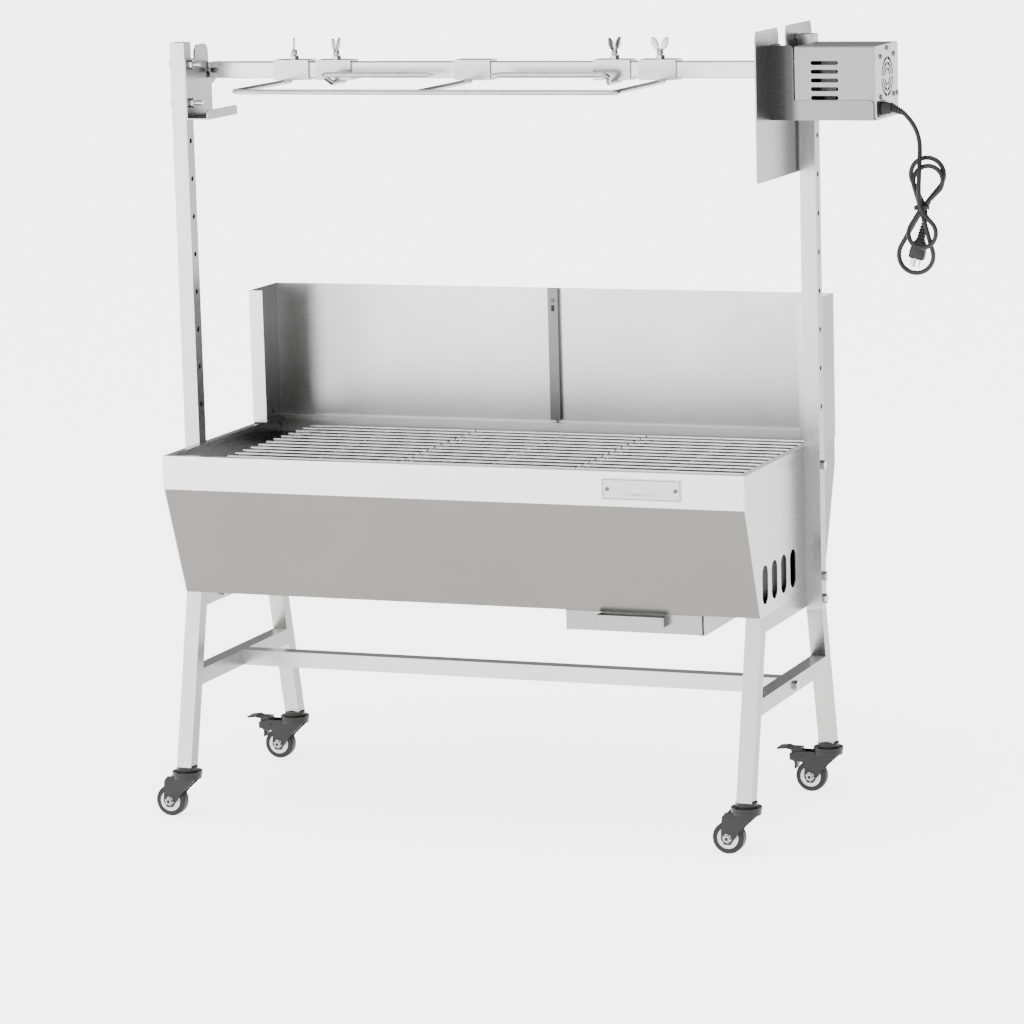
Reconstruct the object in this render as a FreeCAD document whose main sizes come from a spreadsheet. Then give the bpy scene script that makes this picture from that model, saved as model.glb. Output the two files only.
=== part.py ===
"""Charcoal spit roaster on castors: firebox, windshield, height-set posts, motor and spit.

Axes: X runs along the spit from the crank end to the motor, Y runs from the front to the
windshield, Z is up. The origin is on the floor under the middle of the overall box.
"""
import FreeCAD, Part
import math
import os
import re
import sys

import Sketcher

Vector = FreeCAD.Vector

# Driving dimensions in millimetres, kept in the sheet "dims".
DRIVING = [
    # firebox
    ("firebox_length", 960), ("firebox_width", 452), ("firebox_foot_width", 322),
    ("firebox_height", 228.5), ("fascia_height", 53), ("sheet_gauge", 1.5),
    ("rim_flange", 12), ("rim_lip", 8),
    ("ledge_drop", 24), ("ledge_depth", 22),
    ("vent_count", 4), ("vent_pitch", 46), ("vent_width", 28), ("vent_height", 60),
    ("vent_rise", 48),
    ("floor_slot_count", 3), ("floor_slot_width", 12), ("floor_slot_length", 170),
    # stand
    ("caster_height", 81.5), ("leg_height", 273), ("leg_top_reach", 158.6),
    ("leg_foot_reach", 221.7), ("tube_size", 25), ("tube_wall", 1.5),
    ("low_rail_height", 218.5), ("post_offset", 79), ("post_above_rim", 636),
    ("post_hole", 8.5), ("post_hole_pitch", 60), ("post_hole_count", 10),
    ("post_hole_inset", 35), ("cap_thickness", 2.5),
    ("bolt_size", 8), ("bolt_head_flats", 13), ("bolt_head_height", 5.3),
    ("rim_bolt_drop", 30.5), ("floor_bolt_rise", 22.5),
    # grates and charcoal tray
    ("grate_length", 293), ("grate_gap", 2.5), ("grate_rod", 5), ("grate_rod_count", 15),
    ("grate_end_gap", 14), ("grate_side_gap", 5),
    ("tray_depth", 74), ("tray_gap", 7), ("tray_end_gap", 12),
    # windshield
    ("shield_height", 219), ("shield_lap", 10), ("shield_gauge", 1.2), ("wing_depth", 108),
    ("wing_flange", 24), ("shield_joint", 11), ("joint_fold", 7), ("clip_width", 17),
    ("clip_depth", 8.5),
    # ash drawer
    ("drawer_left", 163), ("drawer_width", 220), ("drawer_height", 30), ("drawer_setback", 7),
    ("drawer_gap", 2), ("drawer_length", 290), ("drawer_handle_width", 110),
    ("drawer_handle_reach", 18), ("drawer_handle_height", 15),
    # badge
    ("badge_centre", 316), ("badge_width", 127), ("badge_height", 33), ("badge_gauge", 1),
    ("badge_rivet_pitch", 109),
    # spit
    ("spit_above_rim", 587.5), ("spit_size", 25), ("spit_bar_start", 459), ("neck_radius", 9.3),
    ("journal_radius", 13), ("journal_reach", 35), ("crank_bore", 10.6), ("crank_depth", 30),
    ("slide_gap", 0.3), ("turn_gap", 0.08),
    ("sleeve_length", 60), ("sleeve_wall", 3), ("brace_end", 331), ("brace_other_end", 281),
    ("brace_middle", 23.5), ("fork_left", 258.5), ("fork_right", 207), ("rod_size", 8),
    ("brace_reach", 204), ("prong_offset", 50), ("prong_length", 178), ("prong_rise", 15),
    ("wing_screw_size", 6), ("wing_screw_height", 27), ("wing_span", 28), ("nut_height", 6),
    # left bracket
    ("bracket_gauge", 3), ("bracket_drop", 72), ("bracket_tray_reach", 39),
    ("bracket_lip", 15), ("ear_rise", 43),
    # motor side
    ("heat_shield_front", 130), ("heat_shield_back", 148), ("heat_shield_top", 64.5),
    ("heat_shield_drop", 161.5), ("heat_shield_gauge", 2), ("slot_play", 1),
    ("motor_bracket_flange", 36), ("motor_bracket_lip", 30), ("motor_bracket_top", 40),
    ("housing_start", 34), ("housing_length", 127), ("housing_half_width", 57.5),
    ("housing_height", 108), ("housing_gauge", 1.2),
    ("fan_radius", 27), ("grille_radius", 30), ("fan_drop", 10.5),
    # casters
    ("wheel_size", 50), ("wheel_width", 18), ("wheel_trail", 28), ("fork_gauge", 2.5),
    ("caster_head", 24), ("caster_gap", 0.5), ("pedal_reach", 83),
    ("pedal_back", 42), ("pedal_pivot", 57),
    # power cord
    ("inlet_offset", 34), ("inlet_rise", 14), ("cord_size", 7),
]

# Sizes that follow from the driving dimensions.
FOLLOWS = {
    "end": "firebox_length / 2",
    "leg_top": "caster_height + leg_height",
    "rim": "leg_top + firebox_height",
    "bend": "rim - fascia_height",
    "post_top": "rim + post_above_rim",
    "post_foot": "leg_top - tube_size - 4",
    "rail_middle": "leg_top - tube_size / 2",
    "slope": "(firebox_width - firebox_foot_width) / 2 / (firebox_height - fascia_height)",
    "skin": "sheet_gauge * sqrt(1 + slope * slope)",
    "leg_slope": "(leg_foot_reach - leg_top_reach) / leg_height",
    "spit_axis": "rim + spit_above_rim",
    "sleeve_size": "spit_size + 2 * slide_gap + 2 * sleeve_wall",
    "slot_half_width": "0.71 * spit_size + slot_play",
    "sleeve_top": "spit_axis + sleeve_size / 2",
    "rod_height": "spit_axis - sleeve_size / 2 - rod_size / 2 + 0.5",
    "motor_face": "end + housing_start + housing_length",
    "housing_floor": "spit_axis - bracket_drop + 2",
    "drawer_top": "leg_top - drawer_gap",
    "ledge_top": "rim - ledge_drop",
    "grate_wire_height": "ledge_top + grate_rod / 2 + 0.2",
    "grate_rod_height": "grate_wire_height + grate_rod",
    "caster_x": "end - tube_size / 2",
    "caster_y": "leg_foot_reach - tube_size / 2",
    "inlet_height": "housing_floor + inlet_rise",
    "left_reach": "caster_x + pedal_reach",
    "right_reach": "motor_face + 2",
    "centre_shift": "(left_reach - right_reach) / 2",
    "first_bolt": "post_top - post_hole_inset",
}

doc = FreeCAD.newDocument("spit_roaster")
sheet = doc.addObject("Spreadsheet::Sheet", "dims")
for row, (alias, number) in enumerate(DRIVING, start=1):
    sheet.set("A%d" % row, alias.replace("_", " "))
    sheet.set("B%d" % row, str(number))
    sheet.setAlias("B%d" % row, alias)
doc.recompute()

ALIASES = {alias for alias, number in DRIVING}
made = []


def full(text):
    """Turn a size written with the sheet's names into an expression for the document."""
    def swap(match):
        word = match.group(0)
        if word in FOLLOWS:
            return "(" + full(FOLLOWS[word]) + ")"
        return "dims." + word if word in ALIASES else word
    return re.sub(r"[a-z_]+", swap, str(text))


def value(text):
    """The present number of a size."""
    return float(sheet.evalExpression(full(text).replace("dims.", "")))


def free_name(label):
    made.append(label)
    return "%s_%d" % (label, len(made))


def place(thing, x, y, z, turn=None):
    """Bind a thing's position; x is measured from the firebox's middle."""
    if turn is not None:
        thing.Placement = FreeCAD.Placement(Vector(), FreeCAD.Rotation(*turn))
    thing.setExpression("Placement.Base.x", full("(%s) + centre_shift" % x))
    thing.setExpression("Placement.Base.y", full(y))
    thing.setExpression("Placement.Base.z", full(z))
    return thing


def box(label, x, y, z):
    """A box between two limits on each axis, each given as a (low, high) pair."""
    thing = doc.addObject("Part::Box", free_name(label))
    for size, (low, high) in zip(("Length", "Width", "Height"), (x, y, z)):
        thing.setExpression(size, full("(%s) - (%s)" % (high, low)))
    return place(thing, x[0], y[0], z[0])


TURNS = {"x": (Vector(0, 1, 0), 90), "y": (Vector(1, 0, 0), -90), "z": (Vector(0, 0, 1), 0)}


def rod(label, axis, radius, start, length):
    """A cylinder that starts at a point and runs along an axis."""
    thing = doc.addObject("Part::Cylinder", free_name(label))
    thing.setExpression("Radius", full(radius))
    thing.setExpression("Height", full(length))
    return place(thing, *start, turn=TURNS[axis])


def cone(label, axis, radii, start, length):
    thing = doc.addObject("Part::Cone", free_name(label))
    thing.setExpression("Radius1", full(radii[0]))
    thing.setExpression("Radius2", full(radii[1]))
    thing.setExpression("Height", full(length))
    return place(thing, *start, turn=TURNS[axis])


def hexagon(label, axis, flats, start, length):
    thing = doc.addObject("Part::Prism", free_name(label))
    thing.Polygon = 6
    thing.setExpression("Circumradius", full("(%s) / sqrt(3)" % flats))
    thing.setExpression("Height", full(length))
    return place(thing, *start, turn=TURNS[axis])


def fuse(label, parts):
    thing = doc.addObject("Part::MultiFuse", free_name(label))
    thing.Shapes = parts
    return thing


def group(label, parts):
    thing = doc.addObject("Part::Compound", free_name(label))
    thing.Links = parts
    return thing


def cut(label, base, tools):
    thing = doc.addObject("Part::Cut", free_name(label))
    thing.Base = base
    thing.Tool = tools[0] if len(tools) == 1 else group(label + "_tools", tools)
    return thing


def plate(label, plane, outline, start, thickness):
    """A padded outline on one of the body's own planes: YZ pads to +X, XZ to -Y, XY to +Z."""
    body = doc.addObject("PartDesign::Body", free_name(label))
    sketch = body.newObject("Sketcher::SketchObject", free_name(label + "_outline"))
    role = plane + "_Plane"
    origin_plane = [part for part in body.Origin.OriginFeatures if part.Role == role][0]
    sketch.AttachmentSupport = [(origin_plane, "")]
    sketch.MapMode = "FlatFace"
    offset = "-((%s) + (%s))" % (start, thickness) if plane == "XZ" else start
    sketch.setExpression("AttachmentOffset.Base.z", full(offset))
    corners = [(value(u), value(v)) for u, v in outline]
    count = len(corners)
    for index in range(count):
        here, there = corners[index], corners[(index + 1) % count]
        sketch.addGeometry(Part.LineSegment(Vector(*here, 0), Vector(*there, 0)))
    for index in range(count):
        sketch.addConstraint(Sketcher.Constraint("Coincident", index, 2, (index + 1) % count, 1))
    for index, (u, v) in enumerate(outline):
        for kind, size, number in (("DistanceX", u, corners[index][0]),
                                   ("DistanceY", v, corners[index][1])):
            key = sketch.addConstraint(Sketcher.Constraint(kind, -1, 1, index, 1, number))
            sketch.setExpression("Constraints[%d]" % key, full(size))
    pad = body.newObject("PartDesign::Pad", free_name(label + "_pad"))
    pad.Profile = sketch
    pad.setExpression("Length", full(thickness))
    body.setExpression("Placement.Base.x", full("centre_shift"))
    return body


def rounded(label, base, radius, wanted):
    """Round the edges of a thing whose middle point and direction are wanted."""
    doc.recompute()
    shift = value("centre_shift")
    chosen = []
    for number, edge in enumerate(base.Shape.Edges, start=1):
        middle = edge.CenterOfMass
        middle = Vector(middle.x - shift, middle.y, middle.z)
        along = edge.tangentAt(edge.FirstParameter)
        if wanted(middle, along):
            chosen.append((number, value(radius), value(radius)))
    thing = doc.addObject("Part::Fillet", free_name(label))
    thing.Base = base
    thing.Edges = chosen
    return thing


def oblong(label, axis, centre, width, height, length):
    """A round-ended slot cutter along X or Y, standing when it is taller than wide."""
    x, y, z = centre
    small = "(%s) / 2" % (width if value(width) < value(height) else height)
    stands = value(height) > value(width)
    reach = "((%s) - (%s)) / 2" % ((height, width) if stands else (width, height))
    if axis == "x":
        span = (x, "(%s) + (%s)" % (x, length))
        side = small if stands else reach
        block = box(label, span, ("(%s) - %s" % (y, side), "(%s) + %s" % (y, side)),
                    ("(%s) - %s" % (z, reach if stands else small),
                     "(%s) + %s" % (z, reach if stands else small)))
        shifts = [("0", sign + reach) if stands else (sign + reach, "0") for sign in "-+"]
        ends = [rod(label, axis, small, (x, "(%s) + (%s)" % (y, a), "(%s) + (%s)" % (z, b)),
                    length) for a, b in shifts]
    else:
        span = (y, "(%s) + (%s)" % (y, length))
        side = small if stands else reach
        block = box(label, ("(%s) - %s" % (x, side), "(%s) + %s" % (x, side)), span,
                    ("(%s) - %s" % (z, reach if stands else small),
                     "(%s) + %s" % (z, reach if stands else small)))
        shifts = [("0", sign + reach) if stands else (sign + reach, "0") for sign in "-+"]
        ends = [rod(label, axis, small, ("(%s) + (%s)" % (x, a), y, "(%s) + (%s)" % (z, b)),
                    length) for a, b in shifts]
    return fuse(label, [block] + ends)


def bent_path(points, radii):
    """Straight runs joined by tangent arcs; returns the wire and the arcs' radii."""
    edges = []
    used = []
    last = points[0]
    for index in range(1, len(points) - 1):
        before, here, after = points[index - 1:index + 2]
        inward = (before - here).normalize()
        outward = (after - here).normalize()
        half_turn = (math.pi - inward.getAngle(outward)) / 2
        shorter = min((before - here).Length, (after - here).Length)
        radius = radii if radii else 0.45 * shorter / math.tan(half_turn)
        back = radius * math.tan(half_turn)
        start, stop = here + inward * back, here + outward * back
        middle_way = (inward + outward).normalize()
        centre = here + middle_way * (radius / math.cos(half_turn))
        if (start - last).Length > 1e-6:
            edges.append(Part.LineSegment(last, start).toShape())
        edges.append(Part.Arc(start, centre - middle_way * radius, stop).toShape())
        used.append(radius)
        last = stop
    edges.append(Part.LineSegment(last, points[-1]).toShape())
    return Part.Wire(edges), used


def bent_rod(label, points, radius, bend):
    """A round rod or tube along a bent path, its points given as sizes."""
    shift = value("centre_shift")
    route = [Vector(value(x) + shift, value(y), value(z)) for x, y, z in points]
    wire, used = bent_path(route, value(bend) if bend else None)
    size = value(radius)
    start = (route[1] - route[0]).normalize()
    ring = Part.Wire([Part.Circle(route[0], start, size).toShape()])
    thing = doc.addObject("Part::Feature", free_name(label))
    thing.Shape = wire.makePipeShell([ring], True, False)
    expected = math.pi * size * size * wire.Length
    print("%s: length %.1f, volume ratio %.4f, radii %s" % (
        label, wire.Length, thing.Shape.Volume / expected, ["%.0f" % r for r in used]))
    return thing


parts = {}


def keep(label, thing):
    thing.Label = label
    parts[label] = thing
    return thing


# --- stand ---------------------------------------------------------------------------------

def hollow_slanted(label, outline_of, x_low):
    """A square tube whose side view is a slanted outline; outline_of(inset) gives it."""
    outer = plate(label, "YZ", outline_of("0"), x_low, "tube_size")
    inner = plate(label + "_bore", "YZ", outline_of("tube_wall"),
                  "(%s) + tube_wall" % x_low, "tube_size - 2 * tube_wall")
    return cut(label, outer, [inner])


def leg_outline(side):
    def outline(inset):
        return [("%s * (leg_top_reach - (%s))" % (side, inset), "leg_top"),
                ("%s * (leg_top_reach - tube_size + (%s))" % (side, inset), "leg_top"),
                ("%s * (leg_foot_reach - tube_size + (%s))" % (side, inset), "caster_height"),
                ("%s * (leg_foot_reach - (%s))" % (side, inset), "caster_height")]
    return outline


def rail_outline(top):
    """A cross rail that meets the legs' inner faces; top is the height of its upper face."""
    def outline(inset):
        def reach(height):
            return "(leg_top_reach - tube_size + (leg_top - (%s)) * leg_slope)" % height
        high = "(%s) - (%s)" % (top, inset)
        low = "(%s) - tube_size + (%s)" % (top, inset)
        return [("-" + reach(high), high), (reach(high), high),
                (reach(low), low), ("-" + reach(low), low)]
    return outline


X_LOW = {"left": "-end", "right": "end - tube_size"}
OUTWARD = {"left": "-1", "right": "1"}


def build_stand():
    for side, low in X_LOW.items():
        for place_name, sign in (("front", "-1"), ("rear", "1")):
            label = "%s_%s_leg" % (place_name, side)
            keep(label, hollow_slanted(label, leg_outline(sign), low))
    top_rails = []
    low_rails = []
    for side, low in X_LOW.items():
        post_y = "post_offset" if side == "right" else "-post_offset"
        rail = hollow_slanted("top_rail", rail_outline("leg_top"), low)
        hole = rod("rail_hole", "x", "post_hole / 2", ("(%s) - 1" % low, post_y, "rail_middle"),
                   "tube_size + 2")
        top_rails.append(cut("top_rail", rail, [hole]))
        rail = hollow_slanted("low_rail", rail_outline("low_rail_height + tube_size / 2"), low)
        hole = rod("rail_hole", "x", "post_hole / 2", ("(%s) - 1" % low, "0", "low_rail_height"),
                   "tube_size + 2")
        low_rails.append(cut("low_rail", rail, [hole]))
    keep("top_rails", group("top_rails", top_rails))
    keep("low_rails", group("low_rails", low_rails))
    half = "tube_size / 2"
    bore = "tube_size / 2 - tube_wall"
    across = ("-(end - tube_size)", "end - tube_size")
    outer = box("stretcher", across, ("-" + half, half),
                ("low_rail_height - " + half, "low_rail_height + " + half))
    inner = box("stretcher_bore", across, ("-(%s)" % bore, bore),
                ("low_rail_height - (%s)" % bore, "low_rail_height + (%s)" % bore))
    keep("stretcher", cut("stretcher", outer, [inner]))


def post_bolt_heights():
    return ["rim - rim_bolt_drop", "leg_top + floor_bolt_rise", "rail_middle"]


def build_post(side):
    """A square tube with a row of height holes, shut by a cap pressed into its top."""
    low = "end" if side == "right" else "-end - tube_size"
    middle_y = "post_offset" if side == "right" else "-post_offset"
    front, back = "(%s) - tube_size / 2" % middle_y, "(%s) + tube_size / 2" % middle_y
    high = "(%s) + tube_size" % low
    tube_top = "post_top - cap_thickness"
    outer = box("post", (low, high), (front, back), ("post_foot", tube_top))
    outer = rounded("post", outer, "6", lambda middle, along: abs(along.y) > 0.9
                    and middle.z < value("post_foot") + 1
                    and abs(middle.x) > value("end") + 1)
    inner = box("post_bore", ("(%s) + tube_wall" % low, "(%s) - tube_wall" % high),
                ("(%s) + tube_wall" % front, "(%s) - tube_wall" % back),
                ("post_foot - 1", tube_top))
    count = int(value("post_hole_count"))
    heights = ["first_bolt - post_hole_pitch * %d" % number for number in range(count)]
    holes = [rod("post_hole", "x", "post_hole / 2", ("(%s) - 1" % low, middle_y, height),
                 "tube_size + 2") for height in heights + post_bolt_heights()]
    tube = cut("post", outer, [inner] + holes)
    inset = "tube_wall"
    cap = fuse("cap", [
        box("cap", (low, high), (front, back), (tube_top, "post_top")),
        box("cap_plug", ("(%s) + %s" % (low, inset), "(%s) - %s" % (high, inset)),
            ("(%s) + %s" % (front, inset), "(%s) - %s" % (back, inset)),
            (tube_top + " - 8", tube_top + " + 0.5"))])
    keep(side + "_post", group(side + "_post", [tube, cap]))


def bolt_along_x(side, y, z, grip, head_gap="0", tail="12"):
    """A hexagon bolt with its head on the outer side, its nut, and a tail past the nut."""
    parts_of_bolt = []
    outer = "end + tube_size + (%s)" % head_gap
    if side == "right":
        head = (outer, y, z)
        shank = ("(%s) - (%s) - (%s) - 1" % (outer, grip, tail), y, z)
        nut = ("(%s) - (%s) - 6.4" % (outer, grip), y, z)
    else:
        head = ("-(%s) - bolt_head_height" % outer, y, z)
        shank = ("-(%s) - bolt_head_height + 1" % outer, y, z)
        nut = ("-(%s) + (%s)" % (outer, grip), y, z)
    parts_of_bolt.append(hexagon("bolt_head", "x", "bolt_head_flats", head, "bolt_head_height"))
    parts_of_bolt.append(rod("bolt_shank", "x", "bolt_size / 2", shank,
                             "(%s) + bolt_head_height - 1 + (%s) + 1" % (grip, tail)))
    parts_of_bolt.append(hexagon("bolt_nut", "x", "bolt_head_flats", nut, "6.4"))
    return fuse("bolt", parts_of_bolt)


def build_frame_bolts():
    bolts = []
    for side, sign in (("left", "-1"), ("right", "1")):
        middle_y = "%s * post_offset" % sign
        upper = "tube_size + sheet_gauge"
        grips = [upper, upper, "2 * tube_size"]
        for height, grip in zip(post_bolt_heights(), grips):
            bolts.append(bolt_along_x(side, middle_y, height, grip, tail="8"))
        bolts.append(bolt_along_x(side, "0", "low_rail_height", "tube_size", "-tube_size", "9"))
    keep("frame_bolts", group("frame_bolts", bolts))


# --- firebox -------------------------------------------------------------------------------

def build_long_panel(label, side):
    """Front or rear wall: upright fascia, sloping skirt, rolled rim and a ledge for grates."""
    half, foot = "firebox_width / 2", "firebox_foot_width / 2"
    profile = [(half, "rim"), (half + " - rim_flange", "rim"),
               (half + " - rim_flange", "rim - rim_lip"),
               (half + " - rim_flange + sheet_gauge", "rim - rim_lip"),
               (half + " - rim_flange + sheet_gauge", "rim - sheet_gauge"),
               (half + " - sheet_gauge", "rim - sheet_gauge"),
               (half + " - sheet_gauge", "ledge_top"),
               (half + " - sheet_gauge - ledge_depth", "ledge_top"),
               (half + " - sheet_gauge - ledge_depth", "ledge_top - sheet_gauge"),
               (half + " - sheet_gauge", "ledge_top - sheet_gauge"),
               (half + " - sheet_gauge", "bend"),
               (foot + " - skin", "leg_top"), (foot, "leg_top"), (half, "bend")]
    outline = [("%s * (%s)" % (side, y), z) for y, z in profile]
    panel = plate(label, "YZ", outline, "-end + sheet_gauge", "firebox_length - 2 * sheet_gauge")
    keep(label, panel)


def build_end_panel(side):
    half, foot = "firebox_width / 2", "firebox_foot_width / 2"
    outline = [("-" + half, "rim"), (half, "rim"), (half, "bend"), (foot, "leg_top"),
               ("-" + foot, "leg_top"), ("-" + half, "bend")]
    low = {"left": "-end", "right": "end - sheet_gauge"}[side]
    panel = plate("end_panel", "YZ", outline, low, "sheet_gauge")
    inner = {"left": ("-end + sheet_gauge", "-end + rim_flange"),
             "right": ("end - rim_flange", "end - sheet_gauge")}[side]
    lip = {"left": ("-end + rim_flange - sheet_gauge", "-end + rim_flange"),
           "right": ("end - rim_flange", "end - rim_flange + sheet_gauge")}[side]
    across = ("-(%s - rim_flange)" % half, half + " - rim_flange")
    rim_parts = [box("rim", inner, across, ("rim - sheet_gauge", "rim")),
                 box("lip", lip, across, ("rim - rim_lip", "rim - sheet_gauge"))]
    vents = []
    away = "-1" if side == "right" else "1"
    count = int(value("vent_count"))
    for number in range(count):
        y = "%s * vent_pitch * %d" % (away, number)
        vents.append(oblong("vent", "x", ("(%s) - 1" % low, y, "leg_top + vent_rise"),
                            "vent_width", "vent_height", "sheet_gauge + 2"))
    middle_y = "post_offset" if side == "right" else "-post_offset"
    holes = [rod("post_bolt_hole", "x", "post_hole / 2", ("(%s) - 1" % low, middle_y, height),
                 "sheet_gauge + 2") for height in post_bolt_heights()[:2]]
    panel = cut("end_panel", fuse("end_panel", [panel] + rim_parts), vents + holes)
    keep("firebox_%s_end" % side, panel)


def floor_slots(label, z_low, z_high):
    """Slots over the ash drawer that let the ash fall."""
    slots = []
    count = int(value("floor_slot_count"))
    middle = "drawer_left + drawer_width / 2"
    for number in range(count):
        y = "3 * floor_slot_width * %s" % (number - (count - 1) / 2)
        slots.append(box(label, (middle + " - floor_slot_length / 2",
                                 middle + " + floor_slot_length / 2"),
                         ("%s - floor_slot_width / 2" % y, "%s + floor_slot_width / 2" % y),
                         (z_low, z_high)))
    return slots


def build_firebox():
    build_long_panel("firebox_front", "-1")
    build_long_panel("firebox_rear", "1")
    build_end_panel("left")
    build_end_panel("right")
    base = "firebox_foot_width / 2 - skin"
    floor = box("firebox_floor", ("-end + sheet_gauge", "end - sheet_gauge"),
                ("-(%s)" % base, base), ("leg_top", "leg_top + sheet_gauge"))
    keep("firebox_floor", cut("firebox_floor", floor,
                              floor_slots("floor_slot", "leg_top - 1",
                                          "leg_top + sheet_gauge + 1")))
    face = "-firebox_width / 2"
    badge_z = "rim - fascia_height / 2"
    badge = box("badge", ("badge_centre - badge_width / 2", "badge_centre + badge_width / 2"),
                (face + " - badge_gauge", face),
                (badge_z + " - badge_height / 2", badge_z + " + badge_height / 2"))
    keep("badge_plate", rounded("badge", badge, "3", lambda middle, along: abs(along.y) > 0.9))


def build_charcoal_tray():
    """A deep pan that stands on the firebox floor and follows its sloping sides."""
    def half(height, inset):
        return "(firebox_foot_width / 2 - skin - tray_gap + (%s) * slope - (%s))" % (height, inset)
    low = "leg_top + sheet_gauge"
    walls = [("-" + half("0", "0"), low), (half("0", "0"), low),
             (half("tray_depth", "0"), low + " + tray_depth"),
             ("-" + half("tray_depth", "0"), low + " + tray_depth")]
    hollow = [("-" + half("0", "sheet_gauge"), low + " + sheet_gauge"),
              (half("0", "sheet_gauge"), low + " + sheet_gauge"),
              (half("tray_depth", "sheet_gauge"), low + " + tray_depth + 0.01"),
              ("-" + half("tray_depth", "sheet_gauge"), low + " + tray_depth + 0.01")]
    reach = "end - sheet_gauge - tray_end_gap"
    outer = plate("charcoal_tray", "YZ", walls, "-(%s)" % reach, "2 * (%s)" % reach)
    inner = plate("tray_hollow", "YZ", hollow, "-(%s) + sheet_gauge" % reach,
                  "2 * (%s) - 2 * sheet_gauge" % reach)
    slots = floor_slots("tray_slot", low + " - 1", low + " + sheet_gauge + 1")
    keep("charcoal_tray", cut("charcoal_tray", outer, [inner] + slots))


def build_grate(label, number):
    """Rods along the spit, each lying on three cross wires; grates count from the right."""
    high = "(end - grate_end_gap - %d * (grate_length + grate_gap))" % number
    low = high + " - grate_length"
    half = "firebox_width / 2 - rim_flange - grate_side_gap"
    count = int(value("grate_rod_count"))
    bars = []
    for n in range(count):
        y = "((%s) - grate_rod / 2) * %r" % (half, 2 * n / (count - 1) - 1)
        bars.append(rod("grate_rod", "x", "grate_rod / 2", (low, y, "grate_rod_height"),
                        "grate_length"))
    for x in (low + " + 6", low + " + grate_length / 2", low + " + grate_length - 6"):
        bars.append(rod("cross_wire", "y", "grate_rod / 2", (x, "-(%s)" % half,
                        "grate_wire_height"), "2 * (%s)" % half))
    keep(label, group(label, bars))


# --- windshield ----------------------------------------------------------------------------

def build_windshield(side):
    """A back sheet and a wing in one folded piece, hung outside the firebox's rim."""
    s = OUTWARD[side]
    wall, back = "(end + shield_gauge)", "(firebox_width / 2 + shield_gauge)"
    front = "(firebox_width / 2 - wing_depth)"
    joint = "shield_joint"
    fold_y = back + " - shield_gauge - joint_fold"
    outer = [("%s * (%s - wing_flange)" % (s, wall), front),
             ("%s * %s" % (s, wall), front), ("%s * %s" % (s, wall), back), (joint, back),
             (joint, fold_y)]
    inner = [("%s + %s * shield_gauge" % (joint, s), fold_y),
             ("%s + %s * shield_gauge" % (joint, s), back + " - shield_gauge"),
             ("%s * (%s - shield_gauge)" % (s, wall), back + " - shield_gauge"),
             ("%s * (%s - shield_gauge)" % (s, wall), front + " + shield_gauge"),
             ("%s * (%s - wing_flange)" % (s, wall), front + " + shield_gauge")]
    low = "rim - shield_lap"
    panel = plate("windshield", "XY", outer + inner, low, "shield_height + shield_lap")
    notch_x = sorted(["%s * (end - 30)" % s, "%s * (end - 0.01)" % s], key=value)
    notch = box("rim_notch", tuple(notch_x), ("(%s) - 1" % front, front + " + 6"),
                (low + " - 1", "rim + 2"))
    fold_x = sorted(["%s - %s * 1" % (joint, s), "%s + %s * 3" % (joint, s)], key=value)
    fold_notch = box("fold_notch", tuple(fold_x), ("(%s) - 1" % fold_y, "firebox_width / 2"),
                     (low + " - 1", "rim + 0.3"))
    keep("windshield_" + side, cut("windshield", panel, [notch, fold_notch]))


def build_windshield_clip():
    """A channel that grips both folded edges at the windshield's middle joint."""
    left, right = "shield_joint - clip_width / 2", "shield_joint + clip_width / 2"
    back = "firebox_width / 2"
    front = back + " - clip_depth"
    span = ("rim + 4", "rim + shield_height")
    web = box("clip", (left, right), (front, front + " + 1"), span)
    sides = [box("clip", (left, left + " + 1"), (front + " + 1", back), span),
             box("clip", (right + " - 1", right), (front + " + 1", back), span)]
    keep("windshield_clip", fuse("clip", [web] + sides))


# --- ash drawer ----------------------------------------------------------------------------

DRAWER_FRONT = "-(firebox_foot_width / 2 - drawer_setback)"


def build_drawer():
    left, right = "drawer_left", "drawer_left + drawer_width"
    low = "drawer_top - drawer_height"
    span_y = (DRAWER_FRONT, DRAWER_FRONT + " + drawer_length")
    outer = box("drawer", (left, right), span_y, (low, "drawer_top"))
    inner = box("drawer_hollow", (left + " + sheet_gauge", right + " - sheet_gauge"),
                (span_y[0] + " + sheet_gauge", span_y[1] + " - sheet_gauge"),
                (low + " + sheet_gauge", "drawer_top + 1"))
    middle = "drawer_left + drawer_width / 2"
    grip = (middle + " - drawer_handle_width / 2", middle + " + drawer_handle_width / 2")
    reach = DRAWER_FRONT + " - drawer_handle_reach"
    tall = (low + " + 13", low + " + 13 + drawer_handle_height")
    bar = box("handle", grip, (reach, reach + " + 2"), tall)
    arms = [box("handle", (x, x + " + 2"), (reach + " + 1", DRAWER_FRONT + " + 0.5"), tall)
            for x in (grip[0], grip[1] + " - 2")]
    grip_bar = rounded("handle", fuse("handle", [bar] + arms), "2",
                       lambda edge, along: abs(along.z) > 0.9 and edge.y < value(reach) + 0.1)
    keep("ash_drawer", fuse("drawer", [cut("drawer", outer, [inner]), grip_bar]))
    rails = []
    span_y = ("-(firebox_foot_width / 2 - 12)", "firebox_foot_width / 2 - 12")
    for web, ledge in (((left + " - 2.5", left + " - 1"), (left + " - 1", left + " + 6")),
                       ((right + " + 1", right + " + 2.5"), (right + " - 6", right + " + 1"))):
        rails.append(fuse("drawer_rail", [
            box("rail_web", web, span_y, (low + " - 2", "leg_top")),
            box("rail_ledge", ledge, span_y, (low + " - 2", low + " - 0.4"))]))
    keep("drawer_rails", group("drawer_rails", rails))


# --- spit ----------------------------------------------------------------------------------

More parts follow.
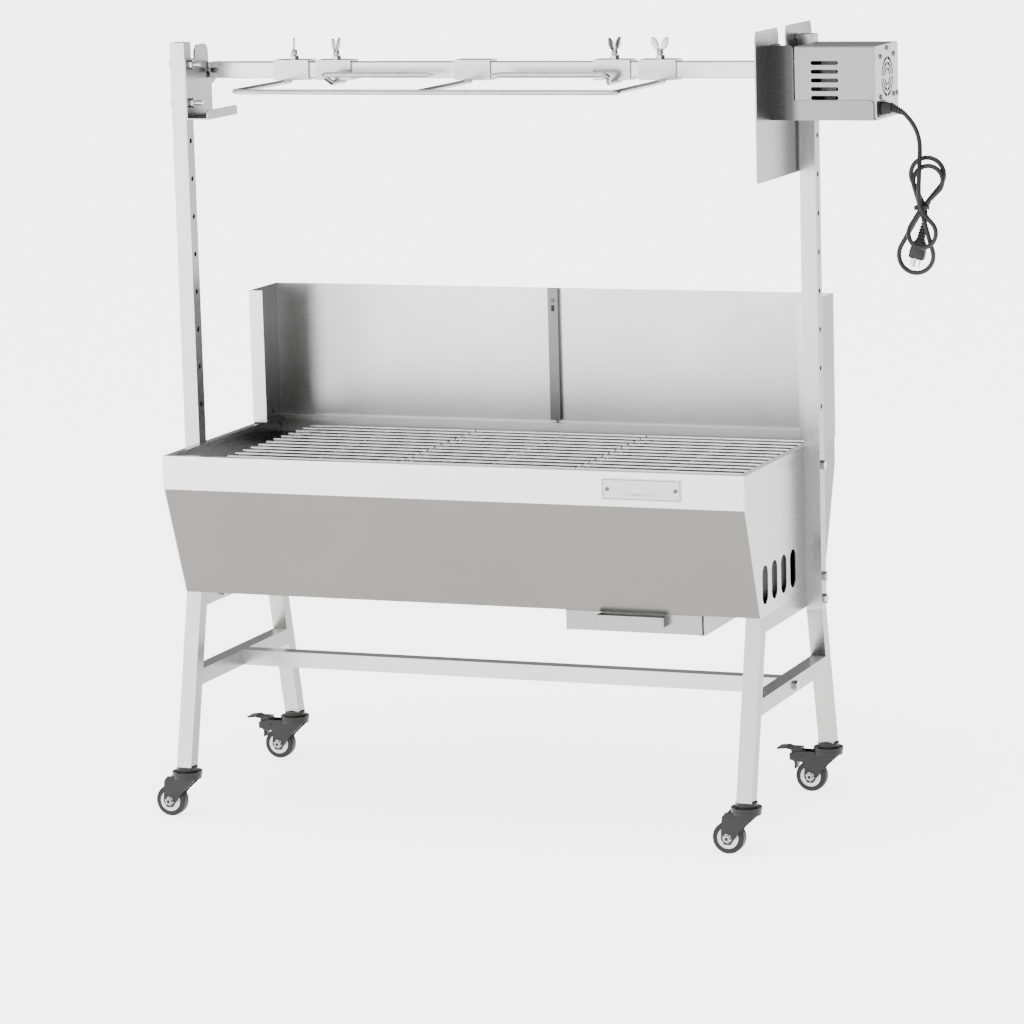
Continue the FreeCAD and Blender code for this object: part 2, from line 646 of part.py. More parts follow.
def square_block(label, x, size):
    half = "(%s) / 2" % size
    return box(label, x, ("-" + half, half), ("spit_axis - " + half, "spit_axis + " + half))


def build_spit():
    socket_start = "end + housing_start - 4"
    bar = square_block("spit_bar", ("-spit_bar_start", socket_start + " + 26"), "spit_size")
    keep("spit_bar", rounded("spit_bar", bar, "1.5", lambda middle, along: abs(along.x) > 0.9))
    neck_end = "-end + bracket_gauge + 3"
    collar = square_block("journal", (neck_end, "-spit_bar_start"), "spit_size")
    neck = rod("journal", "x", "neck_radius", ("-end - 3.5", "0", "spit_axis"),
               "bracket_gauge + 7")
    outer = rod("journal", "x", "journal_radius", ("-end - journal_reach", "0", "spit_axis"),
                "journal_reach - 3")
    bore = rod("crank_socket", "x", "crank_bore / 2", ("-end - journal_reach - 1", "0",
               "spit_axis"), "crank_depth + 1")
    keep("spit_journal", cut("journal", fuse("journal", [collar, neck, outer]), [bore]))
    length = "36"
    outside = rod("drive_socket", "x", "20", (socket_start, "0", "spit_axis"), length)
    pocket = square_block("socket_pocket", (socket_start + " - 1", socket_start + " + 26"),
                          "spit_size + 0.4")
    shaft = rod("drive_shaft", "x", "7", (socket_start + " + 35", "0", "spit_axis"), "14")
    keep("drive_socket", fuse("drive_socket", [cut("drive_socket", outside, [pocket]), shaft]))


def sleeve(label, centre, with_nut):
    """A square sleeve that slides on the spit, with a welded nut for its wing screw."""
    span = ("(%s) - sleeve_length / 2" % centre, "(%s) + sleeve_length / 2" % centre)
    tube = square_block(label, span, "sleeve_size")
    hole = square_block(label + "_bore", ("(%s) - 1" % span[0], "(%s) + 1" % span[1]),
                        "spit_size + 2 * slide_gap")
    if not with_nut:
        return cut(label, tube, [hole])
    nut = hexagon(label + "_nut", "z", "bolt_head_flats", (centre, "0", "sleeve_top - 0.2"),
                  "nut_height + 0.2")
    thread = rod(label + "_thread", "z", "wing_screw_size / 2 + turn_gap",
                 (centre, "0", "spit_axis"), "sleeve_size / 2 + nut_height + 1")
    return cut(label, fuse(label, [tube, nut]), [hole, thread])


def build_brace():
    """Three sleeves carrying one long bent rod and a middle rod."""
    left, right, middle = "-brace_end", "brace_other_end", "-brace_middle"
    front = "-brace_reach"
    sleeves = [sleeve("brace_sleeve", left, True), sleeve("brace_sleeve", middle, False),
               sleeve("brace_sleeve", right, True)]
    left_x, right_x = left + " - sleeve_length / 4", right
    long_rod = bent_rod("brace_rod", [(left_x, "14", "rod_height"), (left_x, front, "rod_height"),
                                      (right_x, front, "rod_height"),
                                      (right_x, "14", "rod_height")],
                        "rod_size / 2", "12")
    middle_rod = rod("brace_rod", "y", "rod_size / 2", (middle + " - sleeve_length / 4",
                     front, "rod_height"), "brace_reach + 14")
    keep("brace", fuse("brace", sleeves + [long_rod, middle_rod]))


def build_fork(label, centre, way):
    """A sleeve with one bent rod that ends in two pointed prongs; way is +1 or -1 in X."""
    x_bend = "(%s) - %s * 6" % (centre, way)
    prong_height = "rod_height + prong_rise"
    tip = "(%s) + %s * prong_length" % (x_bend, way)
    low_x = "(%s) + %s * 2" % (centre, way)
    rod_shape = bent_rod(label + "_rod", [
        (tip, "-prong_offset", prong_height), (x_bend, "-prong_offset", prong_height),
        (low_x, "-prong_offset * 0.5", "rod_height"), (low_x, "prong_offset * 0.5", "rod_height"),
        (x_bend, "prong_offset", prong_height), (tip, "prong_offset", prong_height)],
        "rod_size / 2", "9")
    point_length = "16"
    tips = []
    for y in ("-prong_offset", "prong_offset"):
        start = "(%s) - 0.2" % tip if way == "1" else "(%s) - %s + 0.2" % (tip, point_length)
        radii = ("rod_size / 2", "0.6") if way == "1" else ("0.6", "rod_size / 2")
        tips.append(cone(label + "_tip", "x", radii, (start, y, prong_height), point_length))
    keep(label, fuse(label, [sleeve(label, centre, True), rod_shape] + tips))


def build_wing_screw(label, centre, turned):
    """A thumb screw: threaded shank, round hub and two upright wings."""
    low = "spit_axis + spit_size / 2 + slide_gap / 2"
    seat = "sleeve_top + nut_height + 1"
    shank = rod(label, "z", "wing_screw_size / 2", (centre, "0", low),
                "(%s) + 2 - (%s)" % (seat, low))
    hub = cone(label, "z", ("6", "5"), (centre, "0", seat), "11")
    top = "(%s) + wing_screw_height" % seat
    half = "wing_span / 2"
    wings = []
    for side in ("-1", "1"):
        outline = [("%s * 2" % side, seat + " + 4"), ("%s * 6.5" % side, seat + " + 7"),
                   ("%s * %s" % (side, half), "(%s) - 8" % top),
                   ("%s * %s" % (side, half), "(%s) - 2" % top),
                   ("%s * (%s - 3)" % (side, half), top),
                   ("%s * (%s - 6)" % (side, half), "(%s) - 2" % top),
                   ("%s * 3" % side, seat + " + 13"), ("%s * 2" % side, seat + " + 13")]
        wing = plate(label, "XZ", outline, "-1.6", "3.2")
        wings.append(place(wing, centre, "0", "0", turn=(Vector(0, 0, 1), turned)))
    keep(label, fuse(label, [shank, hub] + wings))


# --- left bracket --------------------------------------------------------------------------

def build_left_bracket():
    """A folded cradle: a bolted plate with a notch and an ear, a foot and a turned-up lip."""
    front, foot = "-(post_offset + tube_size / 2 + 2)", "spit_axis - bracket_drop"
    notch = "(neck_radius + slide_gap)"
    ear_top = "spit_axis + ear_rise"
    shoulder = "first_bolt + 9"
    outline = [(front, foot), ("0", foot), ("0", "spit_axis - 23"), ("14", "spit_axis - 18"),
               ("24", "spit_axis - 8"), ("24", "spit_axis + 9"), ("-" + notch, "spit_axis + 9"),
               ("-" + notch, ear_top), ("-58", ear_top), ("-58", shoulder), (front, shoulder)]
    panel = plate("left_bracket", "YZ", outline, "-end", "bracket_gauge")
    panel = rounded("left_bracket", panel, "14", lambda middle, along: abs(along.x) > 0.9
                    and middle.z > value(ear_top) - 1)
    foot_plate = box("bracket_foot", ("-end", "-end + bracket_tray_reach"),
                     (front + " - 2", "15"), (foot, foot + " + 2"))
    lip = box("bracket_lip", ("-end + bracket_tray_reach - 2", "-end + bracket_tray_reach"),
              (front + " - 2", "15"), (foot, foot + " + bracket_lip"))
    lip = rounded("bracket_lip", lip, "6", lambda middle, along: abs(along.x) > 0.9
                  and middle.z > value(foot) + 5)
    saddle = [rod("notch", "x", notch, ("-end - 1", "0", "spit_axis"), "bracket_gauge + 2"),
              box("notch", ("-end - 1", "-end + bracket_gauge + 1"), ("-" + notch, notch),
                  ("spit_axis", "spit_axis + 10"))]
    holes = [rod("bracket_hole", "x", "post_hole / 2", ("-end - 1", "-post_offset", height),
                 "bracket_gauge + 2") for height in ("first_bolt", "first_bolt - post_hole_pitch")]
    keep("left_bracket", cut("left_bracket", fuse("left_bracket", [panel, foot_plate, lip]),
                             saddle + holes))


def build_bracket_bolts():
    bolts = []
    for height in ("first_bolt", "first_bolt - post_hole_pitch"):
        bolts.append(bolt_along_x("left", "-post_offset", height,
                                  "tube_size + bracket_gauge", tail="20"))
        bolts.append(bolt_along_x("right", "post_offset", height,
                                  "tube_size + bracket_gauge + heat_shield_gauge", tail="10"))
    keep("bracket_bolts", group("bracket_bolts", bolts))


# --- motor side ----------------------------------------------------------------------------

def spit_slot(label, x_low, length, top):
    """An open-topped slot round the spit, wide enough for its corners to turn."""
    half = "slot_half_width"
    return [rod(label, "x", half, (x_low, "0", "spit_axis"), length),
            box(label, (x_low, "(%s) + %s" % (x_low, length)), ("-" + half, half),
                ("spit_axis", top))]


def build_heat_shield():
    low, high = "spit_axis - heat_shield_drop", "spit_axis + heat_shield_top"
    front, back, slot = "-heat_shield_front", "heat_shield_back", "slot_half_width"
    outline = [(front + " + 4", low), (back, low), (back, high + " - 12"), (back + " - 6", high),
               (slot + " + 6", high), (slot, high + " - 9"), (slot, "spit_axis"),
               ("-" + slot, "spit_axis"), ("-" + slot, high + " - 9"), ("-%s - 6" % slot, high),
               (front + " + 6", high), (front, high + " - 12"), (front, low + " + 6")]
    x_low = "end - bracket_gauge - heat_shield_gauge"
    panel = plate("heat_shield", "YZ", outline, x_low, "heat_shield_gauge")
    round_end = rod("shield_slot", "x", slot, ("(%s) - 1" % x_low, "0", "spit_axis"),
                    "heat_shield_gauge + 2")
    holes = [rod("shield_hole", "x", "post_hole / 2", ("(%s) - 1" % x_low, "post_offset", height),
                 "heat_shield_gauge + 2") for height in ("first_bolt",
                                                         "first_bolt - post_hole_pitch")]
    keep("heat_shield", cut("heat_shield", panel, [round_end] + holes))


def build_motor_bracket():
    """A folded tray: upright plate on the post, floor, and an L-shaped front flange."""
    low = "spit_axis - bracket_drop"
    high = "spit_axis + motor_bracket_top"
    face = "-(housing_half_width + 3)"
    inner = "end - bracket_gauge"
    upright = box("motor_bracket", (inner, "end"), (face, "post_offset + tube_size / 2 + 3"),
                  (low, high))
    tray = box("bracket_tray", ("end - 1", "motor_face"), (face, "-(%s)" % face),
               (low, low + " + 2"))
    step, tip = "end - bracket_gauge + motor_bracket_flange", "motor_face - 4"
    outline = [(inner, low), (tip, low), (tip, low + " + motor_bracket_lip"),
               (step, low + " + motor_bracket_lip"), (step, high), (inner, high)]
    flange = plate("bracket_flange", "XZ", outline, face, "2")
    flange = rounded("bracket_flange", flange, "7", lambda middle, along: abs(along.y) > 0.9
                     and ((middle.z > value(high) - 1 and middle.x > value(step) - 1)
                          or (middle.x > value(tip) - 1 and middle.z > value(low) + 5)))
    holes = [rod("bracket_hole", "x", "post_hole / 2", (inner + " - 1", "post_offset", height),
                 "bracket_gauge + 2") for height in ("first_bolt",
                                                     "first_bolt - post_hole_pitch")]
    screw_holes = [rod("tray_hole", "z", "2.4", (x, "-30", low + " - 1"), "4")
                   for x in TRAY_SCREWS]
    keep("motor_bracket", cut("motor_bracket", fuse("motor_bracket", [upright, tray, flange]),
                              spit_slot("bracket_slot", inner + " - 1", "bracket_gauge + 2",
                                        high + " + 1") + holes + screw_holes))


TRAY_SCREWS = ["end + housing_start + 60", "end + housing_start + 67"]
COVER_SCREWS = [("0", "housing_height - 6"), ("-34", "housing_height - 17"),
                ("34", "housing_height - 17"), ("-34", "31"), ("34", "31"), ("50", "31")]


def build_motor_housing():
    start, half = "end + housing_start", "housing_half_width"
    low, high = "housing_floor", "housing_floor + housing_height"
    gauge = "housing_gauge"
    outer = box("housing", (start, "motor_face - 1.5"), ("-" + half, half), (low, high))
    inner = box("housing_hollow", ("%s + %s" % (start, gauge), "motor_face"),
                ("-(%s - %s)" % (half, gauge), "%s - %s" % (half, gauge)),
                ("%s + %s" % (low, gauge), "%s - %s" % (high, gauge)))
    slots = [oblong("air_slot", "y", (start + " + 46.5", "-(%s) - 1" % half,
                    "spit_axis + 13.5 - 13 * %d" % number), "43", "6.2", "housing_gauge + 3")
             for number in range(5)]
    entry = rod("spit_entry", "x", "22", (start + " - 1", "0", "spit_axis"), "4")
    screw_holes = [rod("tray_hole", "z", "2.4", (x, "-30", low + " - 1"), "4")
                   for x in TRAY_SCREWS]
    shell = rounded("housing", cut("housing", outer, [inner]), "2", lambda middle, along:
                    abs(along.x) > 0.9 and abs(middle.y) > value(half) - 0.1)
    keep("motor_housing", cut("housing", shell, slots + [entry] + screw_holes))


def ring_slot(label, outer, inner, x_low, z):
    """A round slot left as four arcs by a cross of bars."""
    disc = rod(label, "x", outer, (x_low, "0", z), "4")
    core = rod(label, "x", inner, ("(%s) - 1" % x_low, "0", z), "6")
    span = ("(%s) - 1" % x_low, "(%s) + 5" % x_low)
    bars = [box(label, span, ("-1.5", "1.5"), ("(%s) - 40" % z, "(%s) + 40" % z)),
            box(label, span, ("-40", "40"), ("(%s) - 1.5" % z, "(%s) + 1.5" % z))]
    return cut(label, disc, [core] + bars)


def build_end_cover():
    low, high = "housing_floor", "housing_floor + housing_height"
    half = "housing_half_width"
    face = box("end_cover", ("motor_face - 1.5", "motor_face"), ("-" + half, half), (low, high))
    fan_height = "spit_axis - fan_drop"
    rings = [ring_slot("grille", "grille_radius - %d" % (8 * n), "grille_radius - %d" % (8 * n + 4),
                       "motor_face - 3", fan_height) for n in range(3)]
    window = box("inlet_window", ("motor_face - 3", "motor_face + 1"),
                 ("-(inlet_offset + 14.5)", "-(inlet_offset - 14.5)"),
                 ("inlet_height - 10.5", "inlet_height + 10.5"))
    holes = [rod("screw_hole", "x", "2.2", ("motor_face - 3", y, "housing_floor + " + z), "4")
             for y, z in COVER_SCREWS]
    keep("motor_end_cover", cut("end_cover", face, rings + [window] + holes))


def build_motor():
    """A gear box and a round motor in line with the spit."""
    start = "end + housing_start + 33"
    gears = box("gearbox", (start, start + " + 24"), ("-30", "30"),
                ("spit_axis - 34", "spit_axis + 34"))
    bore = rod("gearbox_bore", "x", "7 + slide_gap", (start + " - 1", "0", "spit_axis"), "13.5")
    can = rod("motor_can", "x", "26", (start + " + 23.5", "0", "spit_axis"), "45")
    boss = rod("motor_boss", "x", "9", (start + " + 67", "0", "spit_axis"), "4")
    foot = box("motor_foot", (start + " + 4", start + " + 20"), ("-24", "24"),
               ("housing_floor + housing_gauge", "spit_axis - 33"))
    fan_x = start + " + 76"
    fan_height = "spit_axis - fan_drop"
    spindle = rod("fan_spindle", "x", "2.5", (start + " + 67", "0", fan_height), "21")
    keep("gear_motor", cut("gear_motor", fuse("gear_motor", [gears, can, boss, foot, spindle]),
                           [bore]))
    hub = rod("fan_hub", "x", "9", (fan_x, "0", fan_height), "10")
    blades = []
    for number in range(7):
        angle = 2 * math.pi * number / 7
        blade = box("fan_blade", (fan_x + " + 2", fan_x + " + 8"), ("-1", "1"),
                    ("spit_axis - fan_drop + 8", "spit_axis - fan_drop + fan_radius - 1"))
        blade.Placement.Rotation = FreeCAD.Rotation(Vector(1, 0, 0), math.degrees(angle))
        y = "8 * %r + 1 * %r" % (-math.sin(angle), -math.cos(angle))
        z = "spit_axis - fan_drop + 8 * %r + 1 * %r" % (math.cos(angle), -math.sin(angle))
        place(blade, fan_x + " + 2", y, z)
        blades.append(blade)
    hub_bore = rod("fan_bore", "x", "2.5 + turn_gap", (fan_x + " - 1", "0", fan_height), "12")
    keep("cooling_fan", cut("cooling_fan", fuse("cooling_fan", [hub] + blades), [hub_bore]))
    block = box("inlet", ("motor_face - 20", "motor_face"),
                ("-(inlet_offset + 14)", "-(inlet_offset - 14)"),
                ("inlet_height - 10", "inlet_height + 10"))
    rim = box("inlet_rim", ("motor_face", "motor_face + 1.5"),
              ("-(inlet_offset + 17)", "-(inlet_offset - 17)"),
              ("inlet_height - 12", "inlet_height + 12"))
    keep("power_inlet", fuse("inlet", [block, rim]))


def build_small_screws():
    """Self-tapping screws and rivets of the badge, windshield, end cover and tray."""
    fasteners = []

    def pan_head(axis, start, shank_start, shank_length, head_radius="3.6"):
        fasteners.append(fuse("screw", [rod("screw_head", axis, head_radius, start, "2"),
                                        rod("screw_shank", axis, "2", shank_start, shank_length)]))
    for y, z in COVER_SCREWS:
        height = "housing_floor + " + z
        pan_head("x", ("motor_face", y, height), ("motor_face - 6", y, height), "7")
    for x in TRAY_SCREWS:
        low = "spit_axis - bracket_drop"
        pan_head("z", (x, "-30", low + " - 2"), (x, "-30", low + " - 1"), "9")
    for sign in ("-1", "1"):
        x = "badge_centre + %s * badge_rivet_pitch / 2" % sign
        face = "-firebox_width / 2 - badge_gauge"
        fasteners.append(rod("rivet", "y", "3", (x, face + " - 1.5", "rim - fascia_height / 2"),
                             "1.5"))
    for side, sign in (("left", "-1"), ("right", "1")):
        for y in ("firebox_width / 2 - wing_depth + 30", "firebox_width / 2 - 30"):
            x = {"left": "-end", "right": "end - 2"}[side]
            fasteners.append(rod("shield_screw", "x", "3.6", (x, y, "rim + 9"), "2"))
    fasteners.append(rod("clip_screw", "y", "3.2", ("shield_joint",
                         "firebox_width / 2 - clip_depth - 2", "rim + shield_height - 20"), "2"))
    keep("small_screws", group("small_screws", fasteners))


# --- casters -------------------------------------------------------------------------------

WHEEL_GAP = "1"


def build_fork_body(label, x, y, braked):
    """The swivel head, two cheeks and the wheel bolt; braked cheeks reach back to the pedal."""
    head_low = "caster_height - 19"
    axle_x, axle_z = "(%s) - wheel_trail" % x, "wheel_size / 2"
    cheek_in = "wheel_width / 2 + " + WHEEL_GAP
    head = rod(label, "z", "caster_head - 1", (x, y, head_low), "6")
    outline = [("(%s) + 19" % x, head_low + " + 3"), ("(%s) + 16" % x, head_low + " - 3"),
               ("(%s) - 5" % x, axle_z + " + 15"), ("(%s) + 11" % axle_x, axle_z + " - 1"),
               ("(%s) + 5" % axle_x, axle_z + " - 10"), ("(%s) - 5" % axle_x, axle_z + " - 10"),
               ("(%s) - 10" % axle_x, axle_z + " - 1"), ("(%s) - 9" % axle_x, axle_z + " + 22")]
    if braked:
        outline += [("(%s) - 45" % x, "pedal_pivot - 8.5"), ("(%s) - 62" % x, "pedal_pivot - 6"),
                    ("(%s) - 62" % x, "pedal_pivot + 5"), ("(%s) - 44" % x, head_low + " + 3")]
    else:
        outline += [("(%s) - 36" % x, head_low + " - 4"), ("(%s) - 30" % x, head_low + " + 3")]
    cheeks = [plate(label, "XZ", outline, "(%s) + (%s)" % (y, face), "fork_gauge")
              for face in ("-(%s) - fork_gauge" % cheek_in, cheek_in)]
    holes = [rod(label, "z", "5 + turn_gap", (x, y, head_low + " - 5"), "20")]
    if braked:
        holes.append(rod(label, "y", "2.5 + turn_gap", ("(%s) - pedal_back" % x, "(%s) - 20" % y,
                                                        "pedal_pivot"), "40"))
    bolt_reach = cheek_in + " + fork_gauge"
    bolt = rod(label, "y", "4", (axle_x, "(%s) - (%s) - 1" % (y, bolt_reach), axle_z),
               "2 * (%s) + 2" % bolt_reach)
    heads = [hexagon(label, "y", "11", (axle_x, start, axle_z), "4") for start in
             ("(%s) - (%s) - 4" % (y, bolt_reach), "(%s) + (%s)" % (y, bolt_reach))]
    body = cut(label, fuse(label, [head] + cheeks), holes)
    keep(label + "_fork", fuse(label, [body, bolt] + heads))


def build_wheel(label, x, y):
    """A tyre on a round hub that is bored for the wheel bolt."""
    axle_x, axle_z = "(%s) - wheel_trail" % x, "wheel_size / 2"
    low = "(%s) - wheel_width / 2" % y
    tyre = rod(label, "y", "wheel_size / 2", (axle_x, low, axle_z), "wheel_width")
    tyre = rounded(label, tyre, "3", lambda middle, along: True)
    seat = rod(label, "y", "17", (axle_x, low + " - 1", axle_z), "wheel_width + 2")
    hub = rod(label, "y", "17", (axle_x, low + " + 1", axle_z), "wheel_width - 2")
    bore = rod(label, "y", "4 + turn_gap", (axle_x, low, axle_z), "wheel_width")
    keep(label + "_wheel", group(label, [cut(label, tyre, [seat]), cut(label, hub, [bore])]))


def build_pedal(label, x, y):
    """A foot pedal on a cross pin: flat paddle, block between the cheeks and a brake claw."""
    back = "(%s) - pedal_reach" % x
    top = "pedal_pivot + 13"
    half = "(wheel_width / 2 + %s - slide_gap)" % WHEEL_GAP
    wide = "(wheel_width / 2 + %s + fork_gauge)" % WHEEL_GAP
    pivot = "pedal_pivot"

    def behind(points):
        return [("(%s) - %r" % (x, distance), height) for distance, height in points]
    outline = behind([(44, top + " - 2.5"), (62, top + " - 2.5"), (67, top + " - 1")])
    outline += [(back, top + " - 3"), (back, top)]
    outline += behind([(68, top + " + 2"), (62, top), (44, top)])
    paddle = plate(label, "XZ", outline, "(%s) - %s" % (y, wide), "2 * " + wide)
    outline = behind([(44, top + " - 2"), (38.5, pivot + " + 2"), (39.5, pivot + " - 4"),
                      (50, pivot + " - 8"), (52.8, pivot + " - 21"), (54.8, pivot + " - 21"),
                      (54.8, pivot + " - 10"), (60, pivot + " - 6"), (60, top + " - 2")])
    block = plate(label, "XZ", outline, "(%s) - %s" % (y, half), "2 * " + half)
    pin = rod(label, "y", "2.5", ("(%s) - pedal_back" % x, "(%s) - %s - 1" % (y, wide), pivot),
              "2 * %s + 2" % wide)
    keep(label + "_brake", fuse(label, [paddle, block, pin]))


CASTERS = {"front_left": ("-1", "-1"), "front_right": ("1", "-1"),
           "rear_left": ("-1", "1"), "rear_right": ("1", "1")}


def build_casters():
    stems = []
    for name, (sx, sy) in CASTERS.items():
        x, y = "%s * caster_x" % sx, "%s * caster_y" % sy
        braked = name.startswith("rear")
        build_fork_body("caster_" + name, x, y, braked)
        build_wheel("caster_" + name, x, y)
        if braked:
            build_pedal("caster_" + name, x, y)
        low = "caster_height - 13 + caster_gap"
        pin_low = "caster_height - 21"
        stems.append(fuse("caster_stem", [
            rod("stem_ring", "z", "caster_head", (x, y, low), "5"),
            rod("stem_ring", "z", "17", (x, y, low + " + 5"), "caster_height - (%s) - 5" % low),
            rod("kingpin", "z", "5", (x, y, pin_low), "caster_height - (%s) - 1" % pin_low)]))
    keep("caster_stems", group("caster_stems", stems))


# --- power cord ----------------------------------------------------------------------------

# The lead's route beside the motor, from the strain relief to the top of the tied hank.
LEAD = [(675.9, 1108.0), (688.0, 1096.0), (697.6, 1077.0), (701.0, 1059.0), (700.8, 1041.5)]
# The tied hank of cord: its tie, and the round ends of its loops with their outer radii.
TIE = Vector(702.5, 0, 967)
TIE_HALF = 8
HANK_ROUNDS = [(Vector(708.5, 0, 1014.5), 29.5), (Vector(706, 0, 930), 25.5),
               (Vector(692.5, 0, 895.5), 30.8)]
HANK_HALF = 19
# The plug hangs in the lower loops by its relief, leaning, with the tips of its pins here.
PLUG_TIP = Vector(687, 0, 877)
PLUG_LEAN = 14
PLUG_BACK = 10
GRIP_HALF, GRIP_LOW, GRIP_TOP, RELIEF_TOP = 12.5, 13, 41, 71
WINDOW_GAP = 2


def build_hank(beside_motor, y):
    """One closed solid round all the turns, open where the plug hangs."""
    solids = []
    depth = "%s - %r" % (y, HANK_HALF), str(2 * HANK_HALF)
    for centre, radius in HANK_ROUNDS:
        way = (centre - TIE).normalize()
        side = Vector(way.z, 0, -way.x)
        outline = [TIE + side * TIE_HALF, centre + side * radius,
                   centre - side * radius, TIE - side * TIE_HALF]
        solids.append(plate("hank_strands", "XZ", beside_motor(outline), *depth))
        x, z = beside_motor([centre])[0]
        solids.append(rod("hank_round", "y", str(radius), (x, depth[0], z), depth[1]))
    lean = FreeCAD.Rotation(Vector(0, 1, 0), PLUG_LEAN)
    wide, narrow, low = GRIP_HALF + WINDOW_GAP, 9, -2 * WINDOW_GAP
    step = GRIP_TOP + WINDOW_GAP
    corners = [(-wide, low), (wide, low), (wide, step), (narrow, step), (narrow, RELIEF_TOP),
               (-narrow, RELIEF_TOP), (-narrow, step), (-wide, step)]
    outline = [PLUG_TIP + lean.multVec(Vector(u, 0, w)) for u, w in corners]
    window = plate("hank_window", "XZ", beside_motor(outline), "%s - 1" % depth[0],
                   "%s + 2" % depth[1])
    keep("cord_hank", cut("cord_hank", fuse("cord_hank", solids), [window]))


def build_plug(beside_motor, y):
    """Three-pin plug, made standing on its pins about the origin and then hung leaning."""
    own = "-centre_shift"
    grip = box("plug_body", ("%s - %r" % (own, GRIP_HALF), "%s + %r" % (own, GRIP_HALF)),
               ("-9", "9"), (GRIP_LOW, GRIP_TOP))
    grip = rounded("plug_body", grip, "4", lambda edge, along: abs(along.z) > 0.9)
    relief = cone("plug_relief", "z", ("8", "4.6"), (own, "0", GRIP_TOP - 0.5),
                  RELIEF_TOP - GRIP_TOP + 0.5)
    prongs = [box("plug_prong", ("%s %s" % (own, low), "%s %s" % (own, high)), ("-3.2", "3.2"),
                  ("0", GRIP_LOW + 1)) for low, high in (("- 7.1", "- 5.6"), ("+ 5.6", "+ 7.1"))]
    earth = rod("plug_earth", "z", "2.4", (own, "-6.2", "0"), GRIP_LOW + 1)
    plug = fuse("mains_plug", [grip, relief, earth] + prongs)
    x, z = beside_motor([PLUG_TIP])[0]
    place(plug, x, "%s + %r" % (y, PLUG_BACK), z, turn=(Vector(0, 1, 0), PLUG_LEAN))
    keep("mains_plug", plug)


def build_cord():
    """The connector, lead, hank and plug hang beside the motor, at their own fixed places."""
    y = "-inlet_offset"
    relative = "- 641 + motor_face"
    above = "- 1114.5 + inlet_height"

    def beside_motor(points):
        return [("%r %s" % (point.x, relative), "%r %s" % (point.z, above)) for point in points]
    start = "motor_face + 1.5"
    body = box("connector", (start, start + " + 16"), ("-(inlet_offset + 13)",
               "-(inlet_offset - 13)"), ("inlet_height - 9.5", "inlet_height + 9.5"))
    body = rounded("connector", body, "3", lambda middle, along: abs(along.x) > 0.9)
    relief = doc.addObject("Part::Cone", free_name("connector_relief"))
    relief.Radius1, relief.Radius2, relief.Height = 7.5, 4.6, 22.8
    place(relief, "655 " + relative, y, "1117 " + above, turn=(Vector(0, 1, 0), 113.2))
    keep("cord_connector", fuse("connector", [body, relief]))
    lead = [(x, y, z) for x, z in beside_motor([Vector(x, 0, z) for x, z in LEAD])]
    keep("cord_lead", bent_rod("cord_lead", lead, "cord_size / 2", None))
    build_hank(beside_motor, y)
    build_plug(beside_motor, y)


def build_all():
    build_stand()
    build_post("left")
    build_post("right")
    build_frame_bolts()
    build_firebox()
    build_charcoal_tray()
    for number, label in enumerate(("grate_right", "grate_middle", "grate_left")):
        build_grate(label, number)
    build_windshield("left")
    build_windshield("right")
    build_windshield_clip()
    build_drawer()
    build_spit()
    build_brace()
    build_fork("left_fork", "-fork_left", "1")
    build_fork("right_fork", "fork_right", "-1")
    for label, centre, turned in (("left_brace_screw", "-brace_end", 111),
                                  ("left_fork_screw", "-fork_left", 86),
                                  ("right_fork_screw", "fork_right", 66),
                                  ("right_brace_screw", "brace_other_end", 0)):
        build_wing_screw(label, centre, turned)
    build_left_bracket()
    build_bracket_bolts()
    build_heat_shield()
    build_motor_bracket()
    build_motor_housing()
    build_end_cover()
    build_motor()
    build_small_screws()
    build_casters()
    build_cord()


def check_and_export():
    doc.recompute()
    faults = [thing.Name for thing in doc.Objects
              if {"Invalid", "Error"} & set(thing.State)]
    for label, thing in parts.items():
        shape = thing.Shape
        if shape.isNull() or not shape.isValid() or not shape.Solids:
            faults.append(label)
    if faults:
        print("faults:", faults)
        sys.exit(1)
    os.makedirs("parts", exist_ok=True)
    whole = FreeCAD.BoundBox()
    for label, thing in parts.items():
        thing.Shape.exportStep("parts/%s.step" % label)
        if label not in ("cord_connector", "cord_lead", "cord_hank", "mains_plug"):
            whole.add(thing.Shape.BoundBox)
    print("parts:", len(parts), "box:", whole, "volume:",
          sum(thing.Shape.Volume for thing in parts.values()))


build_all()
check_and_export()
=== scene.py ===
"""Looks of a charcoal spit roaster: studio, camera, cord, materials and detail pieces."""

import math

import bmesh
import bpy
from mathutils import Matrix, Vector


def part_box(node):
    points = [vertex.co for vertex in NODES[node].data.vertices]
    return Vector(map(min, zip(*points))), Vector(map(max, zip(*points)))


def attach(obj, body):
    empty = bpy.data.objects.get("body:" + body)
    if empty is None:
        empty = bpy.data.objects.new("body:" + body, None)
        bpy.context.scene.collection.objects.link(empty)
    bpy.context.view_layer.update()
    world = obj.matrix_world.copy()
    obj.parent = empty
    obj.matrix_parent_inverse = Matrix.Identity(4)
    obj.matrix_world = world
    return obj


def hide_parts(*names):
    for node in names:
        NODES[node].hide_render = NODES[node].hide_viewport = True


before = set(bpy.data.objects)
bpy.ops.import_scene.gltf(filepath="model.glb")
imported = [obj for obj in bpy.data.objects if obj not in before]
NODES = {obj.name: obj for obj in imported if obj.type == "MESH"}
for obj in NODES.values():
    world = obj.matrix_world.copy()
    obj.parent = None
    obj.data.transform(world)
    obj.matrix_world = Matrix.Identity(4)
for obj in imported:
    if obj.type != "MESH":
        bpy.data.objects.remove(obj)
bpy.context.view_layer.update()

MM = 0.001
# The middle of the firebox along X; every X below in millimetres is measured from it.
SHIFT = sum(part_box("stretcher")[k].x for k in (0, 1)) / 2


